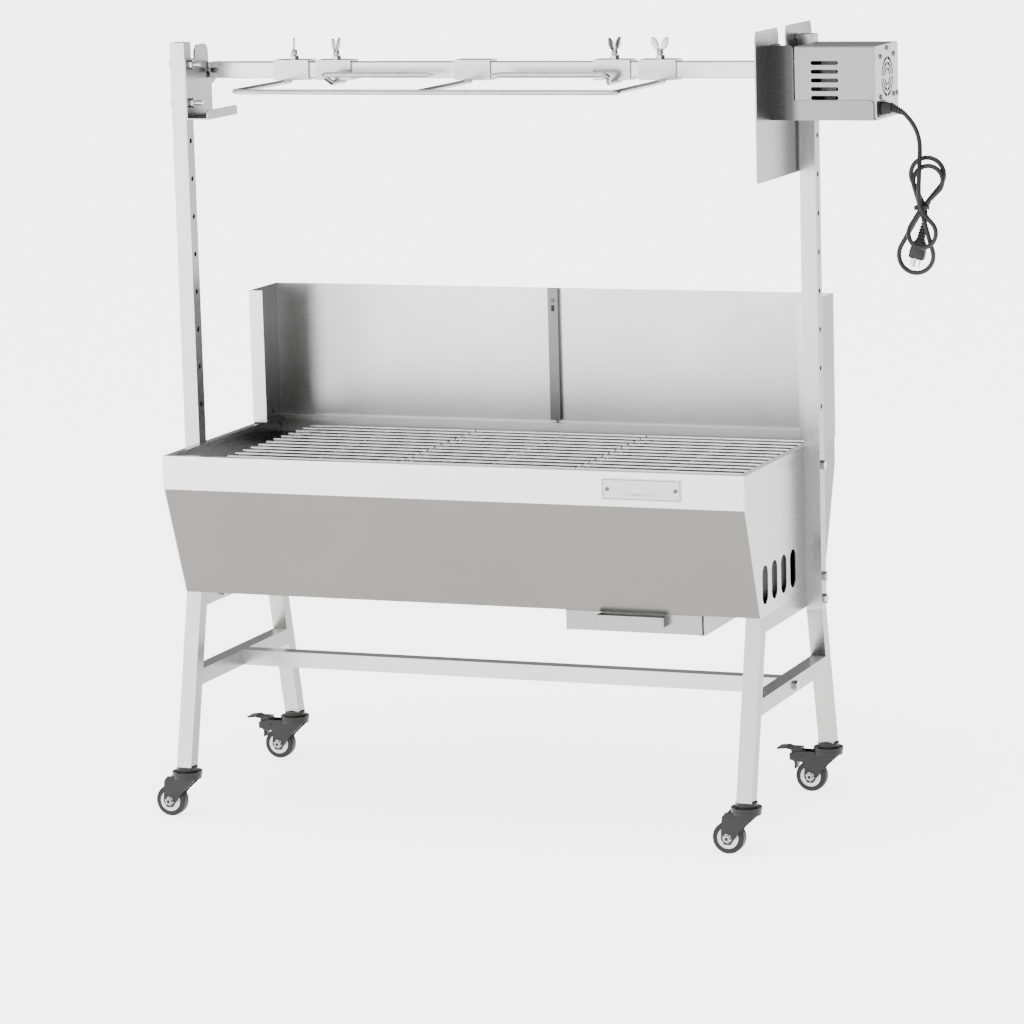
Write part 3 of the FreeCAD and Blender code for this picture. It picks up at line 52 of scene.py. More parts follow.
def spot(x, y, z):
    """A point given in millimetres from the firebox's middle, the object's middle and the floor."""
    return Vector((SHIFT + x * MM, y * MM, z * MM))


# --- camera --------------------------------------------------------------------------------

VIEW_SIDE, VIEW_HEIGHT, VIEW_ROLL = math.radians(21.57), math.radians(9.78), math.radians(-1.59)
TARGET = spot(16.8, 0, 473.5)
DISTANCE = 6.8336
LENS = 152.2

backward = Vector((math.sin(VIEW_SIDE) * math.cos(VIEW_HEIGHT),
                   -math.cos(VIEW_SIDE) * math.cos(VIEW_HEIGHT), math.sin(VIEW_HEIGHT)))
camera = bpy.data.objects.new("camera", bpy.data.cameras.new("camera"))
camera.data.lens = LENS
camera.data.sensor_width = 36
camera.data.clip_end = 200
camera.location = TARGET + backward * DISTANCE
turn = backward.to_track_quat("Z", "Y").to_matrix().to_4x4()
camera.rotation_euler = (turn @ Matrix.Rotation(VIEW_ROLL, 4, "Z")).to_euler()
bpy.context.scene.collection.objects.link(camera)
bpy.context.scene.camera = camera


# --- materials -----------------------------------------------------------------------------

class Shader:
    """A small builder of procedural materials."""

    def __init__(self, name, color, metallic, roughness):
        self.material = bpy.data.materials.new(name)
        self.material.use_nodes = True
        self.tree = self.material.node_tree
        self.base = self.tree.nodes["Principled BSDF"]
        self.base.inputs["Base Color"].default_value = (*color, 1)
        self.base.inputs["Metallic"].default_value = metallic
        self.base.inputs["Roughness"].default_value = roughness

    def node(self, kind, **settings):
        made = self.tree.nodes.new(kind)
        for key, setting in settings.items():
            if key in made.inputs:
                made.inputs[key].default_value = setting
            else:
                setattr(made, key, setting)
        return made

    def link(self, source, target):
        self.tree.links.new(source, target)

    def noise(self, scale, stretch=(1, 1, 1), detail=3.0, rough=0.55):
        """Noise in the object's own coordinates, squeezed by a factor on each axis."""
        place = self.node("ShaderNodeTexCoord")
        mapping = self.node("ShaderNodeMapping")
        mapping.inputs["Scale"].default_value = stretch
        self.link(place.outputs["Object"], mapping.inputs["Vector"])
        made = self.node("ShaderNodeTexNoise")
        made.inputs["Scale"].default_value = scale
        made.inputs["Detail"].default_value = detail
        made.inputs["Roughness"].default_value = rough
        self.link(mapping.outputs["Vector"], made.inputs["Vector"])
        return made.outputs["Fac"]

    def spread(self, source, low, high):
        """Map a 0 to 1 pattern to a range of numbers."""
        made = self.node("ShaderNodeMapRange")
        made.inputs["From Min"].default_value = 0.3
        made.inputs["From Max"].default_value = 0.7
        made.inputs["To Min"].default_value = low
        made.inputs["To Max"].default_value = high
        self.link(source, made.inputs["Value"])
        return made.outputs["Result"]

    def ramp(self, source, dark, light, low=0.3, high=0.7):
        made = self.node("ShaderNodeValToRGB")
        made.color_ramp.elements[0].position = low
        made.color_ramp.elements[0].color = (*dark, 1)
        made.color_ramp.elements[1].position = high
        made.color_ramp.elements[1].color = (*light, 1)
        self.link(source, made.inputs["Fac"])
        return made.outputs["Color"]

    def bump(self, source, strength, depth):
        made = self.node("ShaderNodeBump")
        made.inputs["Strength"].default_value = strength
        made.inputs["Distance"].default_value = depth
        self.link(source, made.inputs["Height"])
        if self.base.inputs["Normal"].is_linked:
            self.link(self.base.inputs["Normal"].links[0].from_socket, made.inputs["Normal"])
        self.link(made.outputs["Normal"], self.base.inputs["Normal"])


def grey(level, warmth=0.0):
    return (level * (1 + warmth), level, level * (1 - warmth))


# Brushing runs along the axis with the small factor.
ALONG = {"x": (0.02, 1, 1), "y": (1, 0.02, 1), "z": (1, 1, 0.02)}


def brushed_steel(name, level, roughness, axis, grain=0.22, clouds=0.06, painted_shade_below=1.0, across=0.72,
                  painted_shade_along=None):
    """Sheet or tube steel with fine brushing, faint clouds and slight smears.

    Painted shade: faces turned down are darker by the factor under and faces turned along X by
    across;
    fade is (axis, start, end, factor) and darkens the sheet along its own length as painted shade.
    """
    steel = Shader(name, grey(level), 1.0, roughness)
    lines = steel.noise(1500, ALONG[axis], detail=4)
    broad = steel.noise(3.2, detail=2)
    color = steel.ramp(lines, grey(level * 0.95), grey(level * 1.03))
    shades = [steel.ramp(broad, grey(1 - clouds), grey(1.0, 0.004))]
    place = steel.node("ShaderNodeTexCoord")
    turned = steel.node("ShaderNodeSeparateXYZ")
    steel.link(place.outputs["Normal"], turned.inputs["Vector"])
    # Painted shade: faces turned along X get darker by the factor across.
    painted_side_mask = steel.node("ShaderNodeMath", operation="ABSOLUTE")
    steel.link(turned.outputs["X"], painted_side_mask.inputs[0])
    shades.append(steel.ramp(painted_side_mask.outputs["Value"], grey(1.0), grey(across), 0.5, 0.9))
    # Painted shade: faces turned down get darker by the factor under.
    painted_below_mask = steel.node("ShaderNodeMath", operation="MULTIPLY")
    painted_below_mask.inputs[1].default_value = -1.0
    steel.link(turned.outputs["Z"], painted_below_mask.inputs[0])
    shades.append(steel.ramp(painted_below_mask.outputs["Value"], grey(1.0), grey(painted_shade_below, 0.02), 0.15, 0.3))
    # Painted shade: the sheet gets darker along its own length.
    if painted_shade_along:
        painted_fade_axis, start, end, factor = painted_shade_along
        whole = steel.node("ShaderNodeSeparateXYZ")
        steel.link(place.outputs["Generated"], whole.inputs["Vector"])
        part = steel.node("ShaderNodeMapRange")
        part.inputs["From Min"].default_value = start
        part.inputs["From Max"].default_value = end
        steel.link(whole.outputs[painted_fade_axis], part.inputs["Value"])
        shades.append(steel.ramp(part.outputs["Result"], grey(1.0), grey(factor), 0.0, 1.0))
    for shade in shades:
        mix = steel.node("ShaderNodeMix", data_type="RGBA", blend_type="MULTIPLY")
        mix.inputs["Factor"].default_value = 1.0
        steel.link(color, mix.inputs["A"])
        steel.link(shade, mix.inputs["B"])
        color = mix.outputs["Result"]
    steel.link(color, steel.base.inputs["Base Color"])
    steel.link(steel.spread(lines, roughness - 0.04, roughness + 0.06),
               steel.base.inputs["Roughness"])
    steel.bump(lines, grain, 0.00008)
    return steel.material


def polished(name, level, roughness, pitting=0.15):
    """Plated or drawn rod with slight waviness."""
    chrome = Shader(name, grey(level), 1.0, roughness)
    waves = chrome.noise(60, detail=2)
    chrome.link(chrome.ramp(waves, grey(level * 0.82), grey(level * 1.05)),
                chrome.base.inputs["Base Color"])
    chrome.link(chrome.spread(waves, roughness - 0.03, roughness + 0.10),
                chrome.base.inputs["Roughness"])
    chrome.bump(chrome.noise(400, detail=3), pitting, 0.0001)
    return chrome.material


def black_coat(name, level, roughness, grain_scale=700, grain=0.25):
    """Black paint, plastic or rubber with a fine grain and worn, greyer patches."""
    coat = Shader(name, grey(level), 0.0, roughness)
    coat.base.inputs["Specular IOR Level"].default_value = 0.22
    patches = coat.noise(35, detail=4)
    coat.link(coat.ramp(patches, grey(level * 0.7), grey(level * 1.7, 0.01)),
              coat.base.inputs["Base Color"])
    coat.link(coat.spread(patches, roughness - 0.08, roughness + 0.08),
              coat.base.inputs["Roughness"])
    coat.bump(coat.noise(grain_scale, detail=2), grain, 0.00015)
    return coat.material


# Painted shade: the settings for faces turned down, faces turned along X and darkening along a
# sheet's length paint shade into these steels, such as the greyer firebox skirt, the dark
# windshield sides and the dark bands on the end panels, heat shield and motor bracket.
STEEL_X = brushed_steel("steel_brushed_x", 0.50, 0.32, "x", painted_shade_below=0.24)
STEEL_Y = brushed_steel("steel_brushed_y", 0.30, 0.30, "y", across=0.8)
STEEL_Z = brushed_steel("steel_brushed_z", 0.24, 0.28, "z", across=0.8)
END_STEEL = brushed_steel("end_steel", 0.36, 0.26, "y", across=0.8, painted_shade_along=("Y", 0.32, 0.85, 0.16))
SHIELD_STEEL = brushed_steel("windshield_steel", 0.42, 0.30, "x", grain=0.08, clouds=0.2,
                             across=0.3)
CLIP_STEEL = brushed_steel("clip_steel", 0.10, 0.3, "z")
HOUSING_STEEL = brushed_steel("housing_steel", 0.19, 0.30, "x", clouds=0.15)
BRACKET_STEEL = brushed_steel("bracket_steel", 0.15, 0.28, "x", painted_shade_along=("X", 0.27, 0.2, 0.3))
COVER_STEEL = brushed_steel("cover_steel", 0.27, 0.30, "y", across=0.9)
DRAWER_STEEL = brushed_steel("drawer_steel", 0.21, 0.30, "x", across=0.7)
HEAT_STEEL = brushed_steel("heat_shield_steel", 0.24, 0.28, "z", across=0.8, clouds=0.2,
                           painted_shade_along=("Y", 0.25, 0.9, 0.4))
TUBE_Z = brushed_steel("tube_brushed_z", 0.33, 0.28, "z", across=0.5)
TUBE_X = brushed_steel("tube_brushed_x", 0.40, 0.28, "x", painted_shade_below=0.5)
TUBE_Y = brushed_steel("tube_brushed_y", 0.30, 0.28, "y", across=0.6)
DULL_STEEL = brushed_steel("dull_steel", 0.05, 0.5, "x", clouds=0.35)
GRATE_WIRE = polished("grate_wire", 0.50, 0.16)
ROD_STEEL = polished("rod_steel", 0.30, 0.20)
PLATED = polished("plated_steel", 0.32, 0.18)
DARK_SCREW = polished("dark_screw", 0.07, 0.3)
BADGE = brushed_steel("badge_plate", 0.36, 0.35, "x")
BADGE_BAR = black_coat("badge_bar", 0.30, 0.45)
BLACK_STEEL = black_coat("castor_black", 0.006, 0.38)
TYRE = black_coat("tyre_rubber", 0.006, 0.55, grain_scale=500)
HUB_GREY = polished("hub_silver", 0.42, 0.32)
BLACK_PLASTIC = black_coat("black_plastic", 0.006, 0.42)
CORD_BLACK = black_coat("cord_black", 0.005, 0.34, grain_scale=900, grain=0.15)
MOTOR_GREY = black_coat("motor_casting", 0.10, 0.5, grain_scale=300)

LOOKS = {
    "firebox_front": STEEL_X, "firebox_rear": STEEL_X, "firebox_left_end": END_STEEL,
    "firebox_right_end": END_STEEL, "firebox_floor": DULL_STEEL, "charcoal_tray": DULL_STEEL,
    "badge_plate": BADGE, "grate_left": GRATE_WIRE, "grate_middle": GRATE_WIRE,
    "grate_right": GRATE_WIRE, "windshield_left": SHIELD_STEEL, "windshield_right": SHIELD_STEEL,
    "windshield_clip": CLIP_STEEL, "ash_drawer": DRAWER_STEEL, "drawer_rails": STEEL_Y,
    "front_left_leg": TUBE_Z, "front_right_leg": TUBE_Z, "rear_left_leg": TUBE_Z,
    "rear_right_leg": TUBE_Z, "top_rails": TUBE_Y, "low_rails": TUBE_Y, "stretcher": TUBE_X,
    "left_post": TUBE_Z, "right_post": TUBE_Z, "frame_bolts": PLATED, "bracket_bolts": PLATED,
    "small_screws": DARK_SCREW, "left_bracket": STEEL_Z, "heat_shield": HEAT_STEEL,
    "motor_bracket": BRACKET_STEEL, "motor_housing": HOUSING_STEEL, "motor_end_cover": COVER_STEEL,
    "gear_motor": MOTOR_GREY, "cooling_fan": BLACK_PLASTIC, "power_inlet": BLACK_PLASTIC,
    "drive_socket": PLATED, "spit_bar": TUBE_X, "spit_journal": STEEL_X, "brace": ROD_STEEL,
    "left_fork": ROD_STEEL, "right_fork": ROD_STEEL, "left_brace_screw": PLATED,
    "right_brace_screw": PLATED, "left_fork_screw": PLATED, "right_fork_screw": PLATED,
    "caster_stems": BLACK_STEEL, "cord_connector": BLACK_PLASTIC, "cord_lead": CORD_BLACK,
    "cord_hank": CORD_BLACK, "mains_plug": BLACK_PLASTIC,
}
for node_name, node_object in NODES.items():
    look = LOOKS.get(node_name)
    if look is None:
        look = TYRE if node_name.endswith("_wheel") else BLACK_STEEL
    node_object.data.materials.clear()
    node_object.data.materials.append(look)


# --- pieces --------------------------------------------------------------------------------

def add_piece(name, shape, look, body, smooth=True, bevel=0.0):
    """Make an object of a bmesh or a curve, give it a material and let it ride on a body."""
    if isinstance(shape, bmesh.types.BMesh):
        data = bpy.data.meshes.new(name)
        bmesh.ops.recalc_face_normals(shape, faces=shape.faces)
        shape.to_mesh(data)
        shape.free()
        for face in data.polygons:
            face.use_smooth = smooth
    else:
        data = shape
    thing = bpy.data.objects.new(name, data)
    bpy.context.scene.collection.objects.link(thing)
    data.materials.append(look)
    if bevel:
        edge = thing.modifiers.new("edges", "BEVEL")
        edge.width = bevel
        edge.segments = 2
        edge.limit_method = "ANGLE"
    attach(thing, body)
    return thing


def lathe(shape, profile, centre, axis, steps=40, closed=False):
    """Turn (along, radius) points about an axis through centre and add them to a bmesh."""
    axis = Vector(axis).normalized()
    side = axis.orthogonal().normalized()
    other = axis.cross(side)
    rings = []
    for along, radius in profile:
        ring = []
        for step in range(steps):
            angle = 2 * math.pi * step / steps
            out = side * math.cos(angle) + other * math.sin(angle)
            ring.append(shape.verts.new(centre + axis * along + out * radius))
        rings.append(ring)
    pairs = list(zip(rings, rings[1:]))
    if closed:
        pairs.append((rings[-1], rings[0]))
    for low, high in pairs:
        for step in range(steps):
            after = (step + 1) % steps
            shape.faces.new((low[step], low[after], high[after], high[step]))
    if not closed:
        shape.faces.new(rings[0])
        shape.faces.new(rings[-1])
    return shape


def millimetres(profile):
    return [(along * MM, radius * MM) for along, radius in profile]


# --- power cord ----------------------------------------------------------------------------

CORD_Y = -34
CORD_RADIUS = 3.5
INLET_HEIGHT = 1114.5
# The lead beside the motor, from the strain relief down to the tie of the hank.
LEAD = [(675.9, 1108.0, CORD_Y), (688.0, 1096.0, CORD_Y), (697.6, 1077.0, CORD_Y),
        (701.0, 1059.0, -35.5), (701.5, 1040.0, -40), (701.8, 1018.0, -45.5),
        (702.0, 995.0, -49.8)]
TIE = (702.5, 967)
# Loops of the hank: radius of the round end, its centre from the tie, Y at start, far end, stop.
LOOPS = [(22, (3.5, -37), (-50, -50, -34.8)), (22, (10, 40), (-34.8, -33, -42.4)),
         (27.3, (-10, -71.5), (-42.4, -33, -27.2)), (26, (6, 47.5), (-27.2, -24, -19.6))]
# From the tie into the plug's relief.
TAIL = [(700.7, 970.5, -19.6), (704.6, 958.5, -21.5), (704.6, 946.2, -24)]
TURN_STEPS = 11


def hank_points():
    """Control points of the tied figure-of-eight: straight strands and a round end per loop."""
    points = []
    for radius, (across, up), (y_start, y_far, y_stop) in LOOPS:
        reach = math.hypot(across, up)
        out = (across / reach, up / reach)
        side = (abs(out[1]), -out[0] * math.copysign(1, up))
        sweep = math.pi / 2 + math.asin(radius / reach)
        step = 2 * sweep / TURN_STEPS
        strand = math.sqrt(reach * reach - radius * radius)
        total = 2 * (strand + radius * sweep)
        corner = radius / math.cos(step / 2)
        points.append((TIE[0], TIE[1], y_start))
        for number in range(-1, TURN_STEPS + 1):
            angle = (number + 0.5) * step - sweep
            part = (strand + radius * (angle + sweep)) / total
            y_end = y_start if part < 0.5 else y_stop
            y = y_far + (y_end - y_far) * (1 + math.cos(2 * math.pi * part)) / 2
            along, over = corner * math.cos(angle), -corner * math.sin(angle)
            points.append((TIE[0] + across + out[0] * along + side[0] * over,
                           TIE[1] + up + out[1] * along + side[1] * over, y))
    return points


def nurbs(name, points, radius, resolution=8):
    """An open NURBS curve of order three with a round section, in millimetres."""
    curve = bpy.data.curves.new(name, "CURVE")
    curve.dimensions = "3D"
    curve.bevel_depth = radius * MM
    curve.bevel_resolution = 4
    curve.use_fill_caps = True
    curve.resolution_u = resolution
    spline = curve.splines.new("NURBS")
    spline.points.add(len(points) - 1)
    for point, (x, z, y) in zip(spline.points, points):
        point.co = (*spot(x, y, z), 1)
    spline.order_u = 3
    spline.use_endpoint_u = True
    return curve


def build_cord():
    curve = nurbs("power_cord", LEAD + hank_points() + TAIL, CORD_RADIUS)
    cord = add_piece("power_cord", curve, CORD_BLACK, "frame")
    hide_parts("cord_lead", "cord_hank")
    return cord


PLUG_TIP = spot(687, -24, 877)
PLUG_TURN = Matrix.Rotation(math.radians(14), 3, "Y")


def plug_spot(x, y, z):
    """A point in the leaning plug's own frame, which stands on the tips of its pins."""
    return PLUG_TIP + PLUG_TURN @ Vector((x * MM, y * MM, z * MM))


def skin(shape, rings):
    """Join equal rings of points into a closed surface."""
    made = [[shape.verts.new(point) for point in ring] for ring in rings]
    for low, high in zip(made, made[1:]):
        for step in range(len(low)):
            after = (step + 1) % len(low)
            shape.faces.new((low[step], low[after], high[after], high[step]))
    shape.faces.new(made[0])
    shape.faces.new(made[-1])


def soft_square(wide, deep, steps=32, power=0.55):
    """A rounded rectangle as (u, v) points."""
    points = []
    for step in range(steps):
        angle = 2 * math.pi * step / steps
        cosine, sine = math.cos(angle), math.sin(angle)
        points.append((math.copysign(wide * abs(cosine) ** power, cosine),
                       math.copysign(deep * abs(sine) ** power, sine)))
    return points


def ribbed(length, large, small, ribs):
    """Profile of a tapered strain relief with rings."""
    profile = [(0, large - 0.2)]
    pitch = length / (ribs + 0.5)
    for rib in range(ribs):
        start = 0.3 + rib * pitch
        size = large + (small - large) * rib / ribs
        profile += [(start, size), (start + 0.58 * pitch, size - 0.2),
                    (start + 0.64 * pitch, size - 1.6), (start + 0.94 * pitch, size - 1.7)]
    profile.append((length, small - 0.4))
    return millimetres(profile)


def build_plug():
    """Three-pin plug: waisted grip, ribbed relief and bright pins."""
    grip = bmesh.new()
    rows = [(12, 11.0, 7.5), (14, 12.2, 8.6), (22, 12.5, 9), (31, 11.4, 8.6), (37, 9.4, 8.0),
            (40, 7.2, 7.2)]
    skin(grip, [[plug_spot(u, v, height) for u, v in soft_square(wide, deep)]
                for height, wide, deep in rows])
    lathe(grip, ribbed(30.5, 7.2, 4.6, 6), plug_spot(0, 0, 40), PLUG_TURN @ Vector((0, 0, 1)), 28)
    plug = add_piece("plug_grip", grip, BLACK_PLASTIC, "frame")
    pins = bmesh.new()
    for offset in (-6.35, 6.35):
        skin(pins, [[plug_spot(offset + u, v, height) for u, v in soft_square(wide, deep, 24, 0.3)]
                    for height, wide, deep in ((0.2, 0.5, 2.6), (1.2, 0.8, 3.2), (14, 0.8, 3.2))])
    lathe(pins, millimetres([(0.2, 1.2), (1.4, 2.3), (14, 2.3)]), plug_spot(0, -6.2, 0),
          PLUG_TURN @ Vector((0, 0, 1)), 20)
    metal = add_piece("plug_pins", pins, PLATED, "frame", smooth=False)
    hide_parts("mains_plug")
    return plug, metal


def build_connector():
    """Appliance connector: stepped rounded body, finger ridges and a ribbed relief."""
    body = bmesh.new()
    rows = [(642.6, 12.6, 9.1), (643.6, 13, 9.5), (650, 13, 9.5), (651, 12.1, 8.7),
            (655.5, 11.8, 8.4), (658.4, 9.6, 7.4)]
    skin(body, [[spot(x, CORD_Y + u, INLET_HEIGHT + v) for u, v in soft_square(wide, deep)]
                for x, wide, deep in rows])
    for ridge in range(4):
        x = 644.8 + 1.5 * ridge
        skin(body, [[spot(x + out, CORD_Y + u, 1124 + v) for u, v in soft_square(8, 0.5, 16)]
                    for out in (0, 0.8)])
    fall = math.radians(113.2)
    way = Vector((math.sin(fall), 0, math.cos(fall)))
    lathe(body, ribbed(22.8, 7.2, 4.6, 5), spot(655, CORD_Y, 1117), way, 28)
    connector = add_piece("mains_connector", body, BLACK_PLASTIC, "frame")
    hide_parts("cord_connector")
    return connector


def build_tie():
    """A twisted wire tie round the crossing of the hank's strands."""
    turns, steps = 3, 16
    points = []
    for step in range(turns * steps):
        angle = 2 * math.pi * step / steps
        points.append((TIE[0] + 10.5 * math.cos(angle), TIE[1] - 3 + 6 * step / (turns * steps),
                       -34.8 + 17 * math.sin(angle)))
    points += [(TIE[0] + 13, TIE[1] + 4, -45), (TIE[0] + 17, TIE[1] + 9, -47)]
    curve = nurbs("hank_tie", points, 1.1)
    return add_piece("hank_tie", curve, BLACK_PLASTIC, "frame")


cord = build_cord()
plug, plug_pins = build_plug()
connector = build_connector()
tie = build_tie()


# --- detail pieces -------------------------------------------------------------------------

SPIT_AXIS = 1170.5
WING_SEAT = 1193.3
WING_TOP = 26.8
WING_REACH = 13.9
WING_LEAN = math.radians(27)
WING_STEPS = 20
# Distance from a castor's kingpin to its axle.
TRAIL = 28
BADGE_X, BADGE_HEIGHT = 316, 556.5
RIVET_REACH = 54.5
# Screws of the motor's end cover: Y and height.
COVER_SCREWS = [(0, 1202.5), (-34, 1191.5), (34, 1191.5), (-34, 1131.5), (34, 1131.5),
                (50, 1131.5)]


def build_wheel_details(corner):
    """Silver hub faces with a dished ring, hexagon nuts and the bearing race of one castor."""
    low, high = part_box("caster_%s_wheel" % corner)
    centre = (low + high) / 2
    body = corner + "_wheel"
    hub = bmesh.new()
    for way in (-1, 1):
        lathe(hub, millimetres([(8.2, 6.2), (9.3, 6.8), (9.5, 8), (9.1, 9.5), (8.9, 12.5),
                                (9.2, 15), (9.5, 15.8), (9.2, 16.8), (8.2, 17)]),
              centre, (0, way, 0), 36)
    add_piece("caster_%s_hub" % corner, hub, HUB_GREY, body)
    nuts = bmesh.new()
    for way in (-1, 1):
        lathe(nuts, millimetres([(12.55, 7.6), (13.2, 7.6), (13.3, 6.7), (13.4, 6.35),
                                 (16.1, 6.35), (16.6, 5.6), (16.7, 3.2), (16.2, 3.0)]),
              centre, (0, way, 0), 6)
    swivel = corner + "_swivel"
    add_piece("caster_%s_nuts" % corner, nuts, PLATED, swivel, smooth=False)
    stem = Vector((centre.x + TRAIL * MM, centre.y, 0))
    race = bmesh.new()
    lathe(race, millimetres([(68.55, 18), (68.7, 20.6), (69.2, 21.4), (69.6, 20.6), (69.7, 18)]),
          stem, (0, 0, 1), 40)
    add_piece("caster_%s_race" % corner, race, HUB_GREY, swivel)


def build_wing_screw(node, body, turned):
    """Threaded shank, waisted hub and two rounded wings of one thumb screw."""
    low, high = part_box(node)
    seat = Vector(((low.x + high.x) / 2, 0, 0))
    base = WING_SEAT * MM
    shape = bmesh.new()
    profile = [(1186.6, 2.4)]
    for thread in range(7):
        start = 1186.8 + 0.95 * thread
        profile += [(start, 2.5), (start + 0.45, 3.0)]
    profile += [(1193.4, 2.6), (1193.5, 5.2), (1194.4, 5.5), (1199.0, 4.7), (1201.5, 3.9),
                (1202.2, 2.4)]
    lathe(shape, millimetres(profile), seat, (0, 0, 1), 24)
    for way in (-1, 1):
        outline = []
        for step in range(WING_STEPS):
            angle = 2 * math.pi * step / WING_STEPS
            along = 5.4 * math.cos(angle) * (1 + 0.12 * math.sin(angle))
            up = 11.2 * math.sin(angle)
            lean = WING_LEAN * way
            outline.append((8.0 * way + along * math.cos(lean) + up * math.sin(lean),
                            15.0 + up * math.cos(lean) - along * math.sin(lean)))
        top = max(point[1] for point in outline)
        outline = [(max(-WING_REACH, min(WING_REACH, x)), height + WING_TOP - top)
                   for x, height in outline]
        middle = [sum(point[axis] for point in outline) / WING_STEPS for axis in (0, 1)]
        rings = []
        for depth, size in ((-1.15, 0.78), (-0.9, 0.97), (0, 1.0), (0.9, 0.97), (1.15, 0.78)):
            ring = []
            for x, height in outline:
                flat = Vector(((middle[0] + (x - middle[0]) * size) * MM, depth * MM, 0))
                rise = (middle[1] + (height - middle[1]) * size) * MM
                ring.append(Vector((seat.x, 0, base + rise))
                            + Matrix.Rotation(math.radians(turned), 3, "Z") @ flat)
            rings.append(ring)
        skin(shape, rings)
    piece = add_piece(node + "_wings", shape, PLATED, body)
    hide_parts(node)


def frame_bar(shape, low, high, bevel=0.15):
    """A thin bar with soft edges between two corners in millimetres."""
    (x0, y0, z0), (x1, y1, z1) = low, high
    rings = []
    for y, inset in ((y0, bevel), (y0 + bevel, 0), (y1, 0)):
        rings.append([spot(x0 + inset, y, z0 + inset), spot(x1 - inset, y, z0 + inset),
                      spot(x1 - inset, y, z1 - inset), spot(x0 + inset, y, z1 - inset)])
    skin(shape, rings)


def build_badge_trim():
    """Thin dark border, two rivets and a plain grey bar on the blank plate."""
    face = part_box("badge_plate")[0].y / MM
    border = bmesh.new()
    left, right, low, high = 254, 378, 541.5, 571.5
    for corner_low, corner_high in (((left, low), (right, low + 0.8)),
                                    ((left, high - 0.8), (right, high)),
                                    ((left, low), (left + 0.8, high)),
                                    ((right - 0.8, low), (right, high))):
        frame_bar(border, (corner_low[0], face - 0.25, corner_low[1]),
                  (corner_high[0], face + 0.3, corner_high[1]), 0.1)
    for x in (BADGE_X - RIVET_REACH, BADGE_X + RIVET_REACH):
        lathe(border, millimetres([(0.1, 2.4), (1.0, 2.2), (1.5, 1.2), (1.6, 0.4)]),
              spot(x, face, BADGE_HEIGHT), (0, -1, 0), 20)
    add_piece("badge_border", border, DARK_SCREW, "frame", smooth=False)
    bar = bmesh.new()
    frame_bar(bar, (272, face - 0.2, 547), (360, face + 0.3, 550.5), 0.1)
    add_piece("badge_stripe", bar, BADGE_BAR, "frame", smooth=False)


def build_cover_washers():
    """Rings round the screws of the motor's end cover."""
    shape = bmesh.new()
    for y, z in COVER_SCREWS:
        lathe(shape, millimetres([(641.1, 4.2), (641.5, 4.1), (641.7, 3.3), (641.1, 3.2)]),
              spot(0, y, z), (1, 0, 0), 24, closed=True)
    add_piece("cover_washers", shape, PLATED, "frame")


def build_weld_beads():
    """Rippled welds where the bent rods meet the sleeves."""
    shape = bmesh.new()
    bead_profile = millimetres([(-1.4, 0.5), (-1.1, 1.5), (0, 2.1), (1.1, 1.5), (1.4, 0.5)])
    for x in (-346, -38.5, 281):
        for bead in range(7):
            lathe(shape, bead_profile, spot(x + 3.2, 4.6 * bead - 16, 1154.2), (0, 1, 0), 10)
    add_piece("brace_welds", shape, ROD_STEEL, "spit")


def build_collar():
    """Dark ring on the neck at the spit's left end."""
    shape = bmesh.new()
    lathe(shape, millimetres([(-472.8, 9.35), (-472.8, 12.6), (-471.6, 13.2), (-460.4, 13.2),
                              (-459.4, 12.6), (-459.4, 9.35)]),
          spot(0, 0, SPIT_AXIS), (1, 0, 0), 40, closed=True)
    add_piece("spit_collar", shape, DARK_SCREW, "spit")


def build_clip_slot():
    """The dark slot near the top of the windshield clip."""
    shape = bmesh.new()
    frame_bar(shape, (9.2, 214.9, 765), (12.8, 215.3, 775), 0.1)
    add_piece("clip_slot", shape, BLACK_STEEL, "frame", smooth=False)


for corner in ("front_left", "front_right", "rear_left", "rear_right"):
    build_wheel_details(corner)
for node, angle in (("left_brace_screw", 111), ("left_fork_screw", 86),
                    ("right_fork_screw", 66), ("right_brace_screw", 0)):
    build_wing_screw(node, node.replace("screw", "thumbscrew"), angle)
build_badge_trim()
build_cover_washers()
build_weld_beads()
build_collar()
build_clip_slot()


# --- studio --------------------------------------------------------------------------------

FLOOR_GLOW = 3.2
# The sky is brightest from the front, the left and above, and dark from behind.
BRIGHT_SIDE = (-0.33, -0.70, 0.63)
SKY = [(0.0, 0.10), (0.35, 0.22), (0.55, 0.50), (0.75, 1.0), (1.0, 1.35)]
SKY_STRENGTH = 2.1


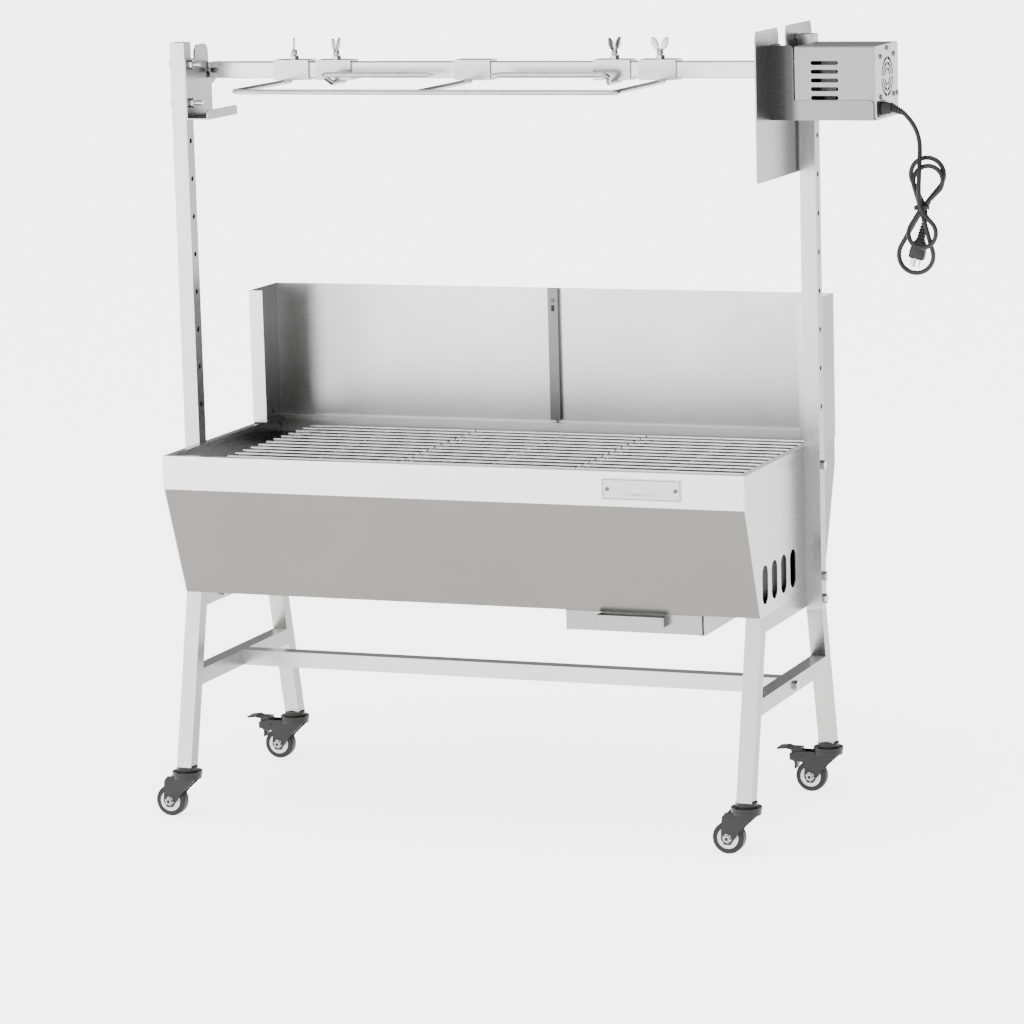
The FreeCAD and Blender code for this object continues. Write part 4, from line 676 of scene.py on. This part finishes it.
def build_studio():
    size = 90
    floor_mesh = bmesh.new()
    corners = [(-size, -size), (size, -size), (size, size), (-size, size)]
    floor_mesh.faces.new([floor_mesh.verts.new((x, y, -0.0004)) for x, y in corners])
    data = bpy.data.meshes.new("floor")
    floor_mesh.to_mesh(data)
    floor_mesh.free()
    floor = bpy.data.objects.new("floor", data)
    bpy.context.scene.collection.objects.link(floor)
    pale = Shader("floor_pale", grey(0.93), 0.0, 0.9)
    pale.link(pale.ramp(pale.noise(2), grey(0.925), grey(0.935)), pale.base.inputs["Base Color"])
    pale.base.inputs["Specular IOR Level"].default_value = 0.0
    pale.base.inputs["Emission Color"].default_value = (1, 1, 1, 1)
    pale.base.inputs["Emission Strength"].default_value = FLOOR_GLOW
    data.materials.append(pale.material)

    world = bpy.data.worlds.new("studio")
    bpy.context.scene.world = world
    world.use_nodes = True
    tree = world.node_tree
    place = tree.nodes.new("ShaderNodeTexCoord")
    facing = tree.nodes.new("ShaderNodeVectorMath")
    facing.operation = "DOT_PRODUCT"
    facing.inputs[1].default_value = BRIGHT_SIDE
    half = tree.nodes.new("ShaderNodeMapRange")
    half.inputs["From Min"].default_value = -1
    ramp = tree.nodes.new("ShaderNodeValToRGB")
    stops = ramp.color_ramp.elements
    stops[0].position, stops[0].color = 0.0, (*grey(SKY[0][1]), 1)
    stops[1].position, stops[1].color = 1.0, (*grey(SKY[-1][1]), 1)
    for position, level in SKY[1:-1]:
        stops.new(position).color = (*grey(level), 1)
    tree.links.new(place.outputs["Generated"], facing.inputs[0])
    tree.links.new(facing.outputs["Value"], half.inputs["Value"])
    tree.links.new(half.outputs["Result"], ramp.inputs["Fac"])
    tree.links.new(ramp.outputs["Color"], tree.nodes["Background"].inputs["Color"])
    tree.nodes["Background"].inputs["Strength"].default_value = SKY_STRENGTH


def softbox(name, centre, aim, width, height, power):
    """A rectangular area light at a place, turned towards a point."""
    data = bpy.data.lights.new(name, "AREA")
    data.shape = "RECTANGLE"
    data.size, data.size_y = width, height
    data.energy = power
    light = bpy.data.objects.new(name, data)
    light.location = centre
    light.rotation_euler = (Vector(centre) - Vector(aim)).to_track_quat("Z", "Y").to_euler()
    bpy.context.scene.collection.objects.link(light)
    return light


build_studio()
softbox("front_left", (-1.9, -3.6, 0.9), (0, 0, 0.6), 2.6, 1.6, 60)
softbox("overhead", (0.2, -0.6, 3.4), (0, 0, 0.4), 2.6, 2.6, 50)
